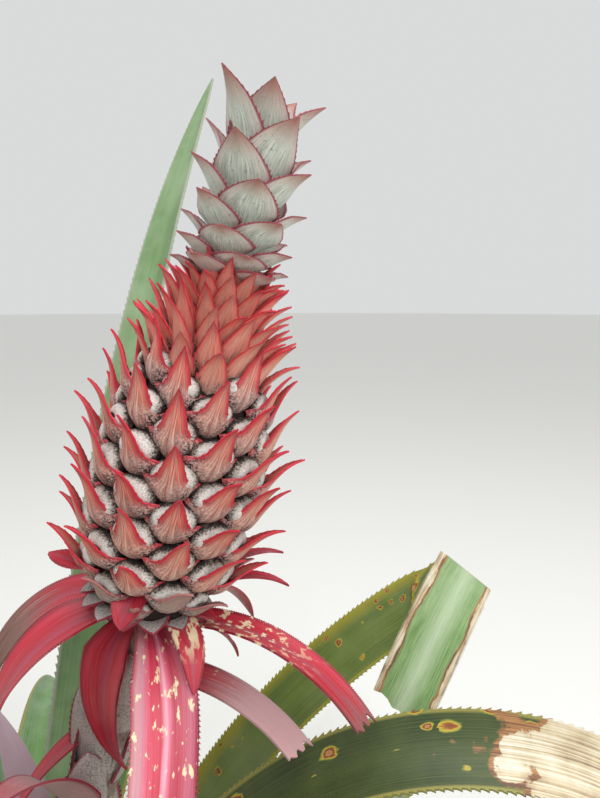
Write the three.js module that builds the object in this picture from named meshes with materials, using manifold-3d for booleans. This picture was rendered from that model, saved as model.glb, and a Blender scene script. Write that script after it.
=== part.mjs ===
// A red pineapple plant in fruit: a short stem, a rosette of long channelled leaves, and a leaning stalk
// with scaly sheaths, a collar of hanging bracts, the fruit with its spirals of fruitlets, and a young crown.
// Millimetres, +Z up. The origin is the centre of the flat cut under the stem, at ground level. The fruit
// leans towards +X, and the plant's front is its -Y side.
import * as THREE from "three";
import Module from "manifold-3d";
import { mergeVertices } from "three/addons/utils/BufferGeometryUtils.js";

const wasm = await Module();
wasm.setup();

const DEG = Math.PI / 180;
const GAP = 0.3; // between pieces that meet
const ROOT_DEPTH = 3; // how deep a part reaches into what it springs from

// The flowering axis: upright at the ground, bending over to the head's lean at the fruit's base.
const STEM_TOP = 205; // height where the stem ends and the stalk begins
const FRUIT_BASE = 500; // height of the fruit's base
const FRUIT_SHIFT = 115; // how far the fruit's base stands to the side of the foot
const FRUIT_LEAN = 15.4; // from upright
const CROWN_LEAN = 14.6;

// The stem, as [share of its height, radius]: a slight flare at the root, a belly under the leaves, a dome.
const STEM_PROFILE = [
  [0, 47],
  [0.1, 42],
  [0.35, 46],
  [0.62, 41],
  [0.85, 29],
  [1, 18.5],
];
// The stalk, in the same way.
const STALK_PROFILE = [
  [0, 15],
  [0.5, 11.5],
  [1, 13],
];

// The fruit, measured along its own axis from its base.
const FRUIT_LENGTH = 168;
const FRUIT_CORE_RADIUS = 37; // at the widest place, without the fruitlets' domes
const FRUIT_WAIST_AT = 66; // height of the widest place
const FRUIT_SWELL = 0.3; // share of the radius lost from the widest place to the base
const FRUIT_SHOULDER_AT = 120; // height where it starts to close in
const FRUIT_TOP_RADIUS = 14;
const CORE_RINGS = [5, 20, 40, 66, 92, 112, 128, 146]; // heights of the core's corners
const EYE_COUNT = 80;
const FIRST_EYE = 10.5;
const EYE_STEP = 1.49; // rise from one fruitlet to the next round the spiral
const EYE_TURN = 137.95;
const EYE_PHASE = 132.5;
const EYE_RADIUS = 9.4;
const EYE_DEPTH = 8.5; // how far a dome stands out of the core
const EYE_TOP_SHARE = 0.6; // of its radius that a dome keeps at its top
const EYE_SHRINK = { from: 90, over: 45, least: 0.72 }; // the fruitlets grow smaller towards the tuft
const THORN_LENGTH = 37; // of a fruitlet's bract
const THORN_LEAN = [38, 50]; // from the fruit's axis
const TUFT_COUNT = 36; // barren bracts crowded between the fruitlets and the crown
const TUFT_OVERLAP = 6; // how far they start below the last fruitlet
const TUFT_LENGTH = [30, 23]; // from the first to the last
const TUFT_HALF_WIDTH = [7.5, 6];
const TUFT_RISE = 20;
const TUFT_FALL = [34, 52];
const TUFT_THICKNESS = 3.4;

// The crown on top of the fruit, measured along its own axis from the fruit's end.
const CROWN_LEAVES = 34;
const CROWN_PHASE = 182.4;
const CROWN_CROWDING = 1.52; // how much closer together the lower leaves spring
const CROWN_AXIS_LENGTH = 45.5;
const CROWN_FOOT_RADIUS = 11;
const CROWN_TIP_RADIUS = 4;
const CROWN_LENGTH = [23, 68]; // of its leaves, from the lowest to the highest
const CROWN_GROWTH = 1.8; // how late up the crown they grow long
const CROWN_ROOT_DEPTH = 3.5;
const CROWN_RISE = [62, 7];
const CROWN_CURL = [12, 35]; // how much further out a leaf's tip leans
const CROWN_HALF_WIDTH = [10.5, 13.5];
const CROWN_THICKNESS = 3;

// The rosette, counted from the outermost leaf to the innermost.
const ROSETTE_LEAVES = 30;
const ROSETTE_LOWEST = 30;
const ROSETTE_HIGHEST = 184;
const ROSETTE_TURN = 137.5;
const ROSETTE_PHASE = 100;
const LEAF_HALF_WIDTH = 20;
const LEAF_ROOT_DEPTH = 6;
const LEAF_RISE = [72, 26]; // from upright, from the outermost leaf to the innermost
const LEAF_DROOP = [38, 52]; // how much further its tip leans
const LEAF_LENGTHS = [
  [0, 560],
  [0.3, 820],
  [0.65, 760],
  [1, 330],
]; // by its place in the rosette
const CHANNEL_SHARE = 0.4; // height of a blade's raised edges, of its half width
const BRACT_CHANNEL_SHARE = 0.35;
const CROWN_CHANNEL_SHARE = 0.45;
const THICKNESS_SHARE = 0.011; // of a blade's length

// The same stream of numbers from 0 to 1 each time.
function seeded(seed) {
  let state = seed;
  return () => {
    state = (state + 0x6d2b79f5) | 0;
    let mixed = Math.imul(state ^ (state >>> 15), 1 | state);
    mixed = (mixed + Math.imul(mixed ^ (mixed >>> 7), 61 | mixed)) ^ mixed;
    return ((mixed ^ (mixed >>> 14)) >>> 0) / 4294967296;
  };
}

const mix = (from, to, share) => from + (to - from) * share;
const clamp = (value, low, high) => Math.min(high, Math.max(low, value));

// A value read from rows of [place, value], with straight stretches between them.
function along(rows, place) {
  const next = rows.findIndex(([at]) => at >= place);
  if (next <= 0) return rows[next === 0 ? 0 : rows.length - 1][1];
  const [before, low] = rows[next - 1];
  const [after, high] = rows[next];
  return mix(low, high, (place - before) / (after - before));
}

// The axis is the cubic x = a z^2 + b z^3 that reaches the fruit's base at the fruit's lean.
const HEAD_SLOPE = Math.tan(FRUIT_LEAN * DEG);
const AXIS_B = (HEAD_SLOPE * FRUIT_BASE - 2 * FRUIT_SHIFT) / FRUIT_BASE ** 3;
const AXIS_A = (FRUIT_SHIFT - AXIS_B * FRUIT_BASE ** 3) / FRUIT_BASE ** 2;

// The axis at a height: its point, and the direction square to it in the plane of its bend.
function axisAt(height) {
  const lean = Math.atan(2 * AXIS_A * height + 3 * AXIS_B * height ** 2);
  return {
    point: new THREE.Vector3(AXIS_A * height ** 2 + AXIS_B * height ** 3, 0, height),
    across: new THREE.Vector3(Math.cos(lean), 0, -Math.sin(lean)),
  };
}

// A point at a distance from the axis, at a height and a bearing.
function besideAxis(height, azimuth, distance) {
  const { point, across } = axisAt(height);
  point.addScaledVector(across, Math.cos(azimuth * DEG) * distance);
  point.y += Math.sin(azimuth * DEG) * distance;
  return point;
}

const stemRadius = (height) => along(STEM_PROFILE, height / STEM_TOP);
const stalkRadius = (height) => along(STALK_PROFILE, (height - STEM_TOP) / (FRUIT_BASE - STEM_TOP));

// A round limb round the axis from one height to another.
function limbGeometry(from, to, radiusAt, sides, rings) {
  const geometry = new THREE.CylinderGeometry(1, 1, 1, sides, rings);
  const place = geometry.getAttribute("position");
  for (let i = 0; i < place.count; i += 1) {
    const height = mix(from, to, place.getY(i) + 0.5);
    const reach = Math.hypot(place.getX(i), place.getZ(i)) * radiusAt(height);
    const azimuth = Math.atan2(place.getX(i), place.getZ(i)) / DEG;
    const at = besideAxis(height, azimuth, reach);
    place.setXYZ(i, at.x, at.y, at.z);
  }
  return geometry;
}

// The midline of a blade. It leaves its start at `rise` degrees from upright and has turned to `fall` at its
// tip, soon or late by `ease`, while its bearing swings by `sweep` and it rolls about itself by `twist`.
function midline({ start, azimuth, sweep = 0, rise, fall, ease = 1, twist = 0, length }, rings) {
  const frames = [];
  const point = start.clone();
  for (let ring = 0; ring <= rings; ring += 1) {
    const share = ring / rings;
    frames.push({ point: point.clone(), ...bladeFrame(share) });
    point.addScaledVector(bladeFrame(share + 0.5 / rings).forward, length / rings);
  }
  return frames;

  function bladeFrame(share) {
    const lean = (rise + (fall - rise) * share ** ease) * DEG;
    const bearing = (azimuth + sweep * share) * DEG;
    const forward = new THREE.Vector3(
      Math.sin(lean) * Math.cos(bearing),
      Math.sin(lean) * Math.sin(bearing),
      Math.cos(lean),
    );
    const side = new THREE.Vector3(-Math.sin(bearing), Math.cos(bearing), 0);
    side.applyAxisAngle(forward, twist * share * DEG);
    return { forward, side, up: new THREE.Vector3().crossVectors(forward, side) };
  }
}

// A channelled blade on a midline: raised edges and a keel, with three or four sides to its section, drawn
// out to a point or ending torn across.
function bladeGeometry(frames, { halfWidth, channel, thickness, sides = 4, torn = false }) {
  const rings = frames.length - 1;
  const geometry = new THREE.CylinderGeometry(torn ? 1 : 0, 1, 1, sides, rings, false, Math.PI);
  const place = geometry.getAttribute("position");
  for (let i = 0; i < place.count; i += 1) {
    const share = place.getY(i) + 0.5;
    const { point, side, up } = frames[Math.round(share * rings)];
    const onEdge = Math.abs(place.getX(i)) > 1e-6;
    const onKeel = !onEdge && Math.abs(place.getZ(i)) > 1e-6;
    const across = onEdge ? -Math.sign(place.getX(i)) * halfWidth(share) : 0;
    const lift = onEdge ? channel(share) : 0;
    const deep = onKeel ? (Math.sign(place.getZ(i)) * thickness(share)) / 2 : 0;
    const at = point.clone().addScaledVector(side, across).addScaledVector(up, lift + deep);
    place.setXYZ(i, at.x, at.y, at.z);
  }
  return geometry;
}

// Half widths along a blade. A strap keeps its width for most of its length, a scale is fullest low down, and
// a thorn narrows early to a slender point.
const foot = (least) => (share) => mix(least, 1, clamp(share / 0.2, 0, 1));
const strap = (half) => (share) => half * foot(0.72)(share) * (1 - share ** 2.6) ** 0.85;
const tornStrap = (half) => (share) => half * mix(1, 0.75, share);
const scale = (half) => (share) => half * (0.85 + 0.6 * share) * (1 - share) ** 0.72;
const THORN_SHAPE = [
  [0, 0.9],
  [0.2, 1],
  [0.5, 0.6],
  [0.75, 0.3],
  [1, 0],
];
const thorn = (half) => (share) => half * along(THORN_SHAPE, share);
const fading = (size) => (share) => size * (1 - 0.75 * share);
const thinning = (size) => (share) => size * (1 - 0.6 * share ** 4);

function solidOf(geometry) {
  const bare = geometry.clone();
  bare.deleteAttribute("normal");
  bare.deleteAttribute("uv");
  const merged = mergeVertices(bare);
  return new wasm.Manifold(
    new wasm.Mesh({
      numProp: 3,
      vertProperties: new Float32Array(merged.getAttribute("position").array),
      triVerts: new Uint32Array(merged.index.array),
    }),
  );
}

function geometryOf(solid) {
  const mesh = solid.getMesh();
  const geometry = new THREE.BufferGeometry();
  geometry.setAttribute("position", new THREE.BufferAttribute(new Float32Array(mesh.vertProperties), 3));
  geometry.setIndex(new THREE.BufferAttribute(new Uint32Array(mesh.triVerts), 1));
  geometry.computeVertexNormals();
  return geometry;
}

const fuse = (geometries) => geometryOf(geometries.map(solidOf).reduce((whole, next) => whole.add(next)));

// A geometry cut to a cutter: what is left of it, without loose scraps.
function cutTo(geometry, cutter) {
  const bodies = solidOf(geometry).subtract(solidOf(cutter)).decompose();
  return geometryOf(bodies.sort((a, b) => b.volume() - a.volume())[0]);
}

const FINISH = {
  stem: { color: 0x8a7a5c, roughness: 0.9 },
  stalk: { color: 0x8d7f72, roughness: 0.85 },
  fruit: { color: 0xb5564a, roughness: 0.75 },
  crown: { color: 0xb9b7ae, roughness: 0.7 },
  bract: { color: 0xc62f43, roughness: 0.5 },
  sheath: { color: 0x9a8a84, roughness: 0.7 },
  leaf: { color: 0x5d7f4a, roughness: 0.5 },
};

function piece(name, finish, geometry) {
  const mesh = new THREE.Mesh(geometry, new THREE.MeshStandardMaterial({ metalness: 0, ...FINISH[finish] }));
  mesh.name = name;
  return mesh;
}

// The fruit, in its own frame: +Z along its axis, from its base.
function coreRadius(height) {
  const swell = FRUIT_CORE_RADIUS * (1 - FRUIT_SWELL * ((height - FRUIT_WAIST_AT) / FRUIT_WAIST_AT) ** 2);
  const closing = clamp((height - FRUIT_SHOULDER_AT) / (FRUIT_LENGTH - FRUIT_SHOULDER_AT), 0, 1);
  const shoulder = mix(FRUIT_CORE_RADIUS, FRUIT_TOP_RADIUS, closing);
  return Math.max(Math.min(swell, shoulder), FRUIT_TOP_RADIUS);
}

function coreGeometry() {
  const profile = [new THREE.Vector2(0, 0), new THREE.Vector2(stalkRadius(FRUIT_BASE), 0)];
  profile.push(...CORE_RINGS.map((height) => new THREE.Vector2(coreRadius(height), height)));
  profile.push(new THREE.Vector2(FRUIT_TOP_RADIUS - ROOT_DEPTH, FRUIT_LENGTH));
  profile.push(new THREE.Vector2(0, FRUIT_LENGTH));
  return new THREE.LatheGeometry(profile, 12).rotateX(Math.PI / 2);
}

// A fruitlet: a low five-sided dome on the core, with one corner of its rim drawn out into its bract's point.
function fruitletGeometry({ height, azimuth, size, reach, lift }) {
  const depth = EYE_DEPTH * size + ROOT_DEPTH;
  const foot = EYE_RADIUS * size;
  const geometry = new THREE.CylinderGeometry(foot * EYE_TOP_SHARE, foot, depth, 5, 1);
  geometry.rotateZ(-Math.PI / 2).rotateX(-Math.PI / 2);
  geometry.translate(depth / 2, 0, 0);
  const place = geometry.getAttribute("position");
  for (let i = 0; i < place.count; i += 1) {
    const onPoint = place.getX(i) > depth / 2 && place.getZ(i) < -foot * 0.45;
    if (onPoint) place.setXYZ(i, reach + ROOT_DEPTH, 0, lift);
  }
  geometry.translate(coreRadius(height) - ROOT_DEPTH, 0, height);
  return geometry.rotateZ(azimuth * DEG);
}

// A pointed bract that stands out of the core above the fruitlets.
function tuftGeometry({ height, azimuth, length, half, fall }) {
  const reach = coreRadius(height) - ROOT_DEPTH;
  const start = new THREE.Vector3(reach * Math.cos(azimuth * DEG), reach * Math.sin(azimuth * DEG), height);
  const frames = midline({ start, azimuth, rise: TUFT_RISE, fall, ease: 1.6, length }, 1);
  return bladeGeometry(frames, {
    halfWidth: thorn(half),
    channel: fading(half * CHANNEL_SHARE),
    thickness: fading(TUFT_THICKNESS),
    sides: 3,
  });
}

function fruit() {
  const random = seeded(11);
  const parts = [coreGeometry()];
  for (let eye = 0; eye < EYE_COUNT; eye += 1) {
    const height = FIRST_EYE + EYE_STEP * eye;
    const azimuth = EYE_PHASE + EYE_TURN * eye;
    const size = mix(1, EYE_SHRINK.least, clamp((height - EYE_SHRINK.from) / EYE_SHRINK.over, 0, 1));
    const lean = mix(...THORN_LEAN, random()) * DEG;
    const reach = THORN_LENGTH * Math.sin(lean);
    const lift = THORN_LENGTH * Math.cos(lean) - EYE_RADIUS * size;
    parts.push(fruitletGeometry({ height, azimuth, size, reach, lift }));
  }
  const tuftFoot = FIRST_EYE + EYE_STEP * EYE_COUNT - TUFT_OVERLAP;
  const tuftHead = FRUIT_LENGTH - 10;
  for (let bract = 0; bract < TUFT_COUNT; bract += 1) {
    const share = bract / TUFT_COUNT;
    const height = mix(tuftFoot, tuftHead, 1 - (1 - share) ** 1.5);
    const azimuth = EYE_PHASE + EYE_TURN * (EYE_COUNT + bract);
    const length = mix(...TUFT_LENGTH, share) * mix(0.9, 1.1, random());
    const half = mix(...TUFT_HALF_WIDTH, share);
    const fall = mix(...TUFT_FALL, random());
    parts.push(tuftGeometry({ height, azimuth, length, half, fall }));
  }
  return piece("fruit", "fruit", fuse(parts));
}

// The crown, in its own frame: +Z along its axis, from the fruit's end.
function crown() {
  const tip = CROWN_AXIS_LENGTH;
  const profile = [
    [0, 0],
    [CROWN_FOOT_RADIUS - 2, 0],
    [CROWN_FOOT_RADIUS, 4],
    [CROWN_TIP_RADIUS, tip],
    [0, tip + 4],
  ].map(([radius, height]) => new THREE.Vector2(radius, height));
  const parts = [new THREE.LatheGeometry(profile, 10).rotateX(Math.PI / 2)];
  for (let leaf = 0; leaf < CROWN_LEAVES; leaf += 1) {
    const share = leaf / (CROWN_LEAVES - 1);
    const height = mix(2.5, tip, share ** CROWN_CROWDING);
    const azimuth = CROWN_PHASE + EYE_TURN * leaf;
    const reach = mix(CROWN_FOOT_RADIUS, CROWN_TIP_RADIUS, height / tip) - CROWN_ROOT_DEPTH;
    const start = new THREE.Vector3(reach * Math.cos(azimuth * DEG), reach * Math.sin(azimuth * DEG), height);
    const length = mix(...CROWN_LENGTH, share ** CROWN_GROWTH);
    const rise = mix(...CROWN_RISE, share);
    const half = mix(...CROWN_HALF_WIDTH, share);
    const fall = rise + mix(...CROWN_CURL, share);
    const frames = midline({ start, azimuth, rise, fall, ease: 2, length }, 3);
    parts.push(
      bladeGeometry(frames, {
        halfWidth: scale(half),
        channel: fading(half * CROWN_CHANNEL_SHARE),
        thickness: fading(CROWN_THICKNESS),
        sides: 3,
      }),
    );
  }
  return piece("crown", "crown", fuse(parts));
}

// The bracts on the stalk: how far down from the fruit each one leaves it, its bearing, size and turn, and
// whether its end is torn off.
const COLLAR = {
  front: { down: 8, azimuth: -61, sweep: -61, length: 210, half: 15.2, rise: 86, fall: 160, ease: 0.5 },
  right: {
    down: 12, azimuth: -12, sweep: -20, length: 130, half: 10,
    rise: 72, fall: 138, ease: 1, torn: true,
  },
  right_back: { down: 19, azimuth: 28, length: 62, half: 8, rise: 80, fall: 165, ease: 1 },
  back_right: { down: 8, azimuth: 62, length: 120, half: 10, rise: 86, fall: 150, ease: 0.9 },
  back: { down: 14, azimuth: 98, length: 150, half: 12, rise: 82, fall: 155, ease: 0.8 },
  back_left: { down: 22, azimuth: 137, length: 165, half: 13, rise: 80, fall: 140, ease: 0.9 },
  left_back: {
    down: 6, azimuth: 159, sweep: 39, twist: -61, length: 120,
    half: 12, rise: 66, fall: 164, ease: 0.7,
  },
  left: {
    down: 7, azimuth: -147, sweep: -30, twist: -17, length: 141,
    half: 16, rise: 64, fall: 204, ease: 0.7,
  },
  front_left: {
    down: 13, azimuth: -124, sweep: -30, twist: -25, length: 86,
    half: 16, rise: 90, fall: 205, ease: 0.36,
  },
};
const SHEATHS = {
  right: {
    down: 41, azimuth: -4, sweep: -33, length: 99,
    half: 11, rise: 82, fall: 122, ease: 0.7, torn: true,
  },
  left: { down: 80, azimuth: -165, length: 76, half: 9, rise: 112, fall: 160, ease: 0.8 },
  back: { down: 92, azimuth: 80, length: 150, half: 13, rise: 34, fall: 150, ease: 1 },
  front: { down: 128, azimuth: -95, length: 120, half: 14, rise: 26, fall: 75, ease: 1.5 },
  front_left: { down: 161, azimuth: -167, length: 190, half: 15, rise: 40, fall: 150, ease: 0.9 },
  front_right: { down: 165, azimuth: -40, length: 190, half: 15, rise: 40, fall: 140, ease: 0.9 },
  back_left: { down: 190, azimuth: 146, length: 110, half: 12, rise: 20, fall: 34, ease: 1 },
};

// A bract springs from inside the stalk and is cut back to its surface.
function bract(finish, name, { down, azimuth, length, half, torn = false, ...turn }) {
  const start = besideAxis(FRUIT_BASE - down, azimuth, stalkRadius(FRUIT_BASE - down) - ROOT_DEPTH);
  const outline = (torn ? tornStrap : strap)(half);
  const narrowing = foot(0.5);
  const fold = fading(half * BRACT_CHANNEL_SHARE);
  const blade = bladeGeometry(midline({ start, azimuth, length, ...turn }, 9), {
    halfWidth: (share) => outline(share) * narrowing(share),
    channel: (share) => fold(share) * narrowing(share),
    thickness: thinning(length * THICKNESS_SHARE),
    torn,
  });
  const clearance = limbGeometry(STEM_TOP, FRUIT_BASE, (height) => stalkRadius(height) + GAP, 12, 8);
  return piece(`${finish}_${name}`, finish, cutTo(blade, clearance));
}

// Leaves that differ from the rosette's rule, by their number from the outside.
const OWN_HABIT = {
  5: { fall: 132 },
  10: { fall: 135, length: 640 },
  18: { sweep: -30, rise: 34, fall: 92, ease: 1.3, length: 440 },
  21: { fall: 150, length: 440 },
  23: { sweep: -36, rise: 22, fall: 56, ease: 1.6, twist: 72, length: 445, torn: true },
  26: { sweep: -14, rise: 14, fall: 31, ease: 1.9, length: 725 },
  28: { sweep: 0, rise: 25, fall: 180, ease: 2.6, twist: 62, length: 550, torn: true },
  29: { rise: 11, fall: 40 },
};
// One leaf is folded over: the line of its fold, which crosses it aslant, and the flap that hangs from there.
const FOLDED_LEAF = 23;
const FOLD_LINE = new THREE.Vector3(0.76, -0.37, -0.54).normalize();
const FLAP = { azimuth: -150, rise: 144, fall: 148, length: 88 };
const FLAP_HALF_WIDTH = LEAF_HALF_WIDTH * 0.85;
// Another arches over a wide space: its number, and the ring of its midline where it is parted.
const ARCHED_LEAF = { number: 28, ring: 8 };

function leafHabit(leaf, random) {
  const share = leaf / (ROSETTE_LEAVES - 1);
  const rise = mix(...LEAF_RISE, share ** 0.9);
  const rule = {
    height: mix(ROSETTE_LOWEST, ROSETTE_HIGHEST, share),
    azimuth: ROSETTE_PHASE + ROSETTE_TURN * leaf,
    sweep: mix(-9, 9, random()),
    rise,
    fall: rise + mix(...LEAF_DROOP, share) * mix(0.85, 1.15, random()),
    ease: mix(1.1, 1.5, random()),
    twist: mix(-18, 18, random()),
    length: along(LEAF_LENGTHS, share) * mix(0.94, 1.06, random()),
    torn: false,
  };
  return { ...rule, ...OWN_HABIT[leaf] };
}

function leafFrames(habit) {
  const start = besideAxis(habit.height, habit.azimuth, stemRadius(habit.height) - LEAF_ROOT_DEPTH);
  return midline({ ...habit, start }, 11);
}

function leafBlade(frames, { length, torn }, swell = 0) {
  const half = torn ? tornStrap(LEAF_HALF_WIDTH) : strap(LEAF_HALF_WIDTH);
  const deep = thinning(length * THICKNESS_SHARE);
  return bladeGeometry(frames, {
    halfWidth: (share) => half(share) + swell,
    channel: fading(LEAF_HALF_WIDTH * CHANNEL_SHARE),
    thickness: (share) => deep(share) + 2 * swell,
    torn,
  });
}

// A leaf that arches over a wide space is parted square to its midline, into its base and its end.
function parted(name, geometry, { point, forward }) {
  const solid = solidOf(geometry);
  const normal = forward.toArray();
  const away = forward.clone().negate().toArray();
  const at = point.dot(forward);
  const end = solid.trimByPlane(normal, at + GAP / 2);
  const base = solid.trimByPlane(away, GAP / 2 - at);
  return [piece(name, "leaf", geometryOf(base)), piece(`${name}_end`, "leaf", geometryOf(end))];
}

function rosette() {
  const random = seeded(5);
  const clearance = limbGeometry(0, STEM_TOP, (height) => stemRadius(height) + GAP, 20, 8);
  return Array.from({ length: ROSETTE_LEAVES }, (_, leaf) => {
    const name = `leaf_${String(leaf + 1).padStart(2, "0")}`;
    const habit = leafHabit(leaf, random);
    const frames = leafFrames(habit);
    const blade = cutTo(leafBlade(frames, habit), clearance);
    if (leaf === ARCHED_LEAF.number) return parted(name, blade, frames[ARCHED_LEAF.ring]);
    const whole = piece(name, "leaf", blade);
    return leaf === FOLDED_LEAF ? [whole, flap(`${name}_flap`, frames, habit)] : [whole];
  }).flat();
}

// The flap of the folded leaf starts on its fold and is cut clear of the leaf.
function flap(name, leafLine, habit) {
  const rings = 4;
  const frames = midline({ ...FLAP, start: leafLine.at(-1).point }, rings);
  frames.forEach((frame, ring) => {
    frame.side.lerp(FOLD_LINE, 1 - ring / rings / 2).normalize();
    frame.up.crossVectors(frame.forward, frame.side).normalize();
  });
  const blade = bladeGeometry(frames, {
    halfWidth: () => FLAP_HALF_WIDTH,
    channel: () => FLAP_HALF_WIDTH * 0.12,
    thickness: () => habit.length * THICKNESS_SHARE * 0.7,
    torn: true,
  });
  return piece(name, "leaf", cutTo(blade, leafBlade(leafLine, habit, GAP)));
}

const plant = new THREE.Group();
plant.add(piece("stem", "stem", limbGeometry(0, STEM_TOP, stemRadius, 20, 8)));
plant.add(piece("stalk", "stalk", limbGeometry(STEM_TOP + GAP, FRUIT_BASE - GAP, stalkRadius, 12, 8)));
plant.add(...rosette());
plant.add(...Object.entries(COLLAR).map(([name, row]) => bract("bract", name, row)));
plant.add(...Object.entries(SHEATHS).map(([name, row]) => bract("sheath", name, row)));

const head = new THREE.Group();
head.position.copy(axisAt(FRUIT_BASE).point);
head.rotation.y = FRUIT_LEAN * DEG;
const top = new THREE.Group();
const tilt = (CROWN_LEAN - FRUIT_LEAN) * DEG;
top.rotation.y = tilt;
top.position.z = FRUIT_LENGTH + GAP + CROWN_FOOT_RADIUS * Math.sin(Math.abs(tilt));
top.add(crown());
head.add(fruit(), top);
plant.add(head);

export default plant;
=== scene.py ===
"""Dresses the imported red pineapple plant: its stem, leaves, stalk, collar of bracts, fruit and crown.

Run as a script in Blender. Sizes are in millimetres and degrees until a mesh is laid down in metres. The
plant stands at the origin, its fruit leans towards +X and its front is the -Y side.
"""

import math

import bmesh
import bpy
import numpy as np
from mathutils import Matrix, Vector


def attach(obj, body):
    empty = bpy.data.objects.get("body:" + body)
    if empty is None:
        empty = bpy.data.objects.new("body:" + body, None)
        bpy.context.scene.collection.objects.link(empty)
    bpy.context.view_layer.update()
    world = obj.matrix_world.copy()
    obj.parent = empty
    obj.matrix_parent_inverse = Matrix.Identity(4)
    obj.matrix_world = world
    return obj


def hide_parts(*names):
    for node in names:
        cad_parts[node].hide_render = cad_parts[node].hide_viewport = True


bl_info = {
    "name": "Red pineapple plant",
    "version": (1, 0, 0),
    "blender": (4, 5, 0),
    "location": "3D View > Sidebar > Pineapple",
    "description": "Dresses a pineapple plant in fruit over its packed solids",
    "category": "Object",
}

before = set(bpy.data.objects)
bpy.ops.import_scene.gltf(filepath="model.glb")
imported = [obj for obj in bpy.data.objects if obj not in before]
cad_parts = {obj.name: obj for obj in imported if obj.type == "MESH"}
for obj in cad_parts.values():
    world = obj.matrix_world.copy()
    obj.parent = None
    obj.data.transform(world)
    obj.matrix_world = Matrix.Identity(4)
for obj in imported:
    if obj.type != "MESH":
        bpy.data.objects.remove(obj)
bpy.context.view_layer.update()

MM = 0.001
BODY = "root"

# The flowering axis, the stem and the stalk, as in the solids.
STEM_TOP = 205
FRUIT_BASE = 500
FRUIT_SHIFT = 115
FRUIT_LEAN = 15.4
CROWN_LEAN = 14.6
STEM_PROFILE = ((0, 47), (0.1, 42), (0.35, 46), (0.62, 41), (0.85, 29), (1, 18.5))
STALK_PROFILE = ((0, 15), (0.5, 11.5), (1, 13))
SEAM = 0.3
# How deep a blade is rooted in what carries it.
ROOT_DEPTH = 3

# The fruit, along its own axis from its base.
FRUIT_LENGTH = 168
CORE_RADIUS = 37
CORE_SWELL = 0.3
WAIST_AT = 66
SHOULDER_AT = 120
TOP_RADIUS = 14
# How far to either side the skin's slope is taken.
SLOPE_REACH = 4
EYE_COUNT = 80
FIRST_EYE = 10.5
EYE_STEP = 1.49
EYE_TURN = 137.95
EYE_PHASE = 132.5
EYE_HALF_WIDTH = 11.9
EYE_HALF_HEIGHT = 8.9
# A fruitlet's size by its height on the fruit, as a share of the largest, how far one tips, in degrees, and
# how one differs from the next in height.
EYE_SMALL = 0.78
EYE_SHRINK = ((10, 0.5), (16, 0.72), (26, 1), (90, 1), (135, EYE_SMALL), (200, EYE_SMALL))
EYE_TIP = 6
EYE_VARIETY = (0.92, 1.04)
# How deep a dome sits in the core, the share of its height that its low side lacks, and its rings from the
# foot up: how far each rises and how far it closes in. Then the heights of the core's own rings.
EYE_SUNK = 2
EYE_LOW_SIDE = 0.4
EYE_RINGS = ((0.4, 1.0), (0.28, 0.9), (0.19, 0.82), (0.11, 0.72))
CORE_RINGS = (3, 12, 26, 40, 56, 72, 90, 108, 120, 132, 146, 160, FRUIT_LENGTH)
# The slit in a dome's top, in half widths of the dome: its inset, how narrow it is, its shift, its lip, its
# depth and how far from the middle it reaches.
SLIT_INSET = 0.2
SLIT_NARROW = 0.3
SLIT_UP = 0.08
SLIT_LIP = 0.02
SLIT_DEPTH = 0.06
SLIT_REACH = 0.35
# How pale the skin is in the slit, and how much it darkens as painted shade at the rim and on the upper side.
SLIT_TONE = 0.35
RIM_PAINTED_SHADE = 0.62
RIM_SHADE_ONSET = 5
UPPER_PAINTED_SHADE = 0.12
# A fruitlet's bract: how far below the fruitlet it springs, its shortest and longest length, the share of
# that on a small fruitlet and on the smallest, and how one differs from the next, in degrees. The lowest
# are worn grey.
BRACT_FOOT = 14.5
BRACT_LENGTH = (40, 45)
BRACT_SMALL = 0.82
BRACT_LEAST = 0.66
BRACT_SPREAD = (-11, 12)
BRACT_SWEEP = 12
BRACT_TWIST = 18
WORN_BELOW = 26
# The barren bracts of the tuft, from the lowest to the highest.
TUFT_COUNT = 84
TUFT_OVERLAP = 14
TUFT_TOP = FRUIT_LENGTH - 4
TUFT_CROWDING = 0.9
TUFT_LENGTH = (35, 26)
TUFT_HALF_WIDTH = (6.9, 5.8)
TUFT_VARIETY = (0.85, 1.12)
TUFT_RISE = 20
TUFT_EASE = 1.7
TUFT_FALL = (30, 70)
TUFT_SWEEP = 18
TUFT_CHANNEL_SHARE = 0.5

# The crown, along its own axis from the fruit's end.
CROWN_LEAVES = 34
CROWN_PHASE = 182.4
CROWN_CROWDING = 1.52
CROWN_AXIS_LENGTH = 45.5
CROWN_FOOT_RADIUS = 11
CROWN_TIP_RADIUS = 4
CROWN_LOWEST = 1
CROWN_ROOT_DEPTH = 2
CROWN_LENGTH = (23, 68)
CROWN_GROWTH = 1.8
CROWN_RISE = (62, 7)
CROWN_CURL = (12, 35)
CROWN_HALF_WIDTH = (12.5, 15.5)
# How soon the crown's leaves reach their full width from its foot up, how rosy the lowest are and how soon
# that fades.
CROWN_WIDENING = 1.4
CROWN_FLUSH = 0.45
CROWN_PALING = 2.6
CROWN_CHANNEL_SHARE = 0.5
# The leaves at the crown's tip that have a length of their own.
CROWN_OWN_LENGTH = {29: 64, 32: 56, 33: 56}

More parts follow.
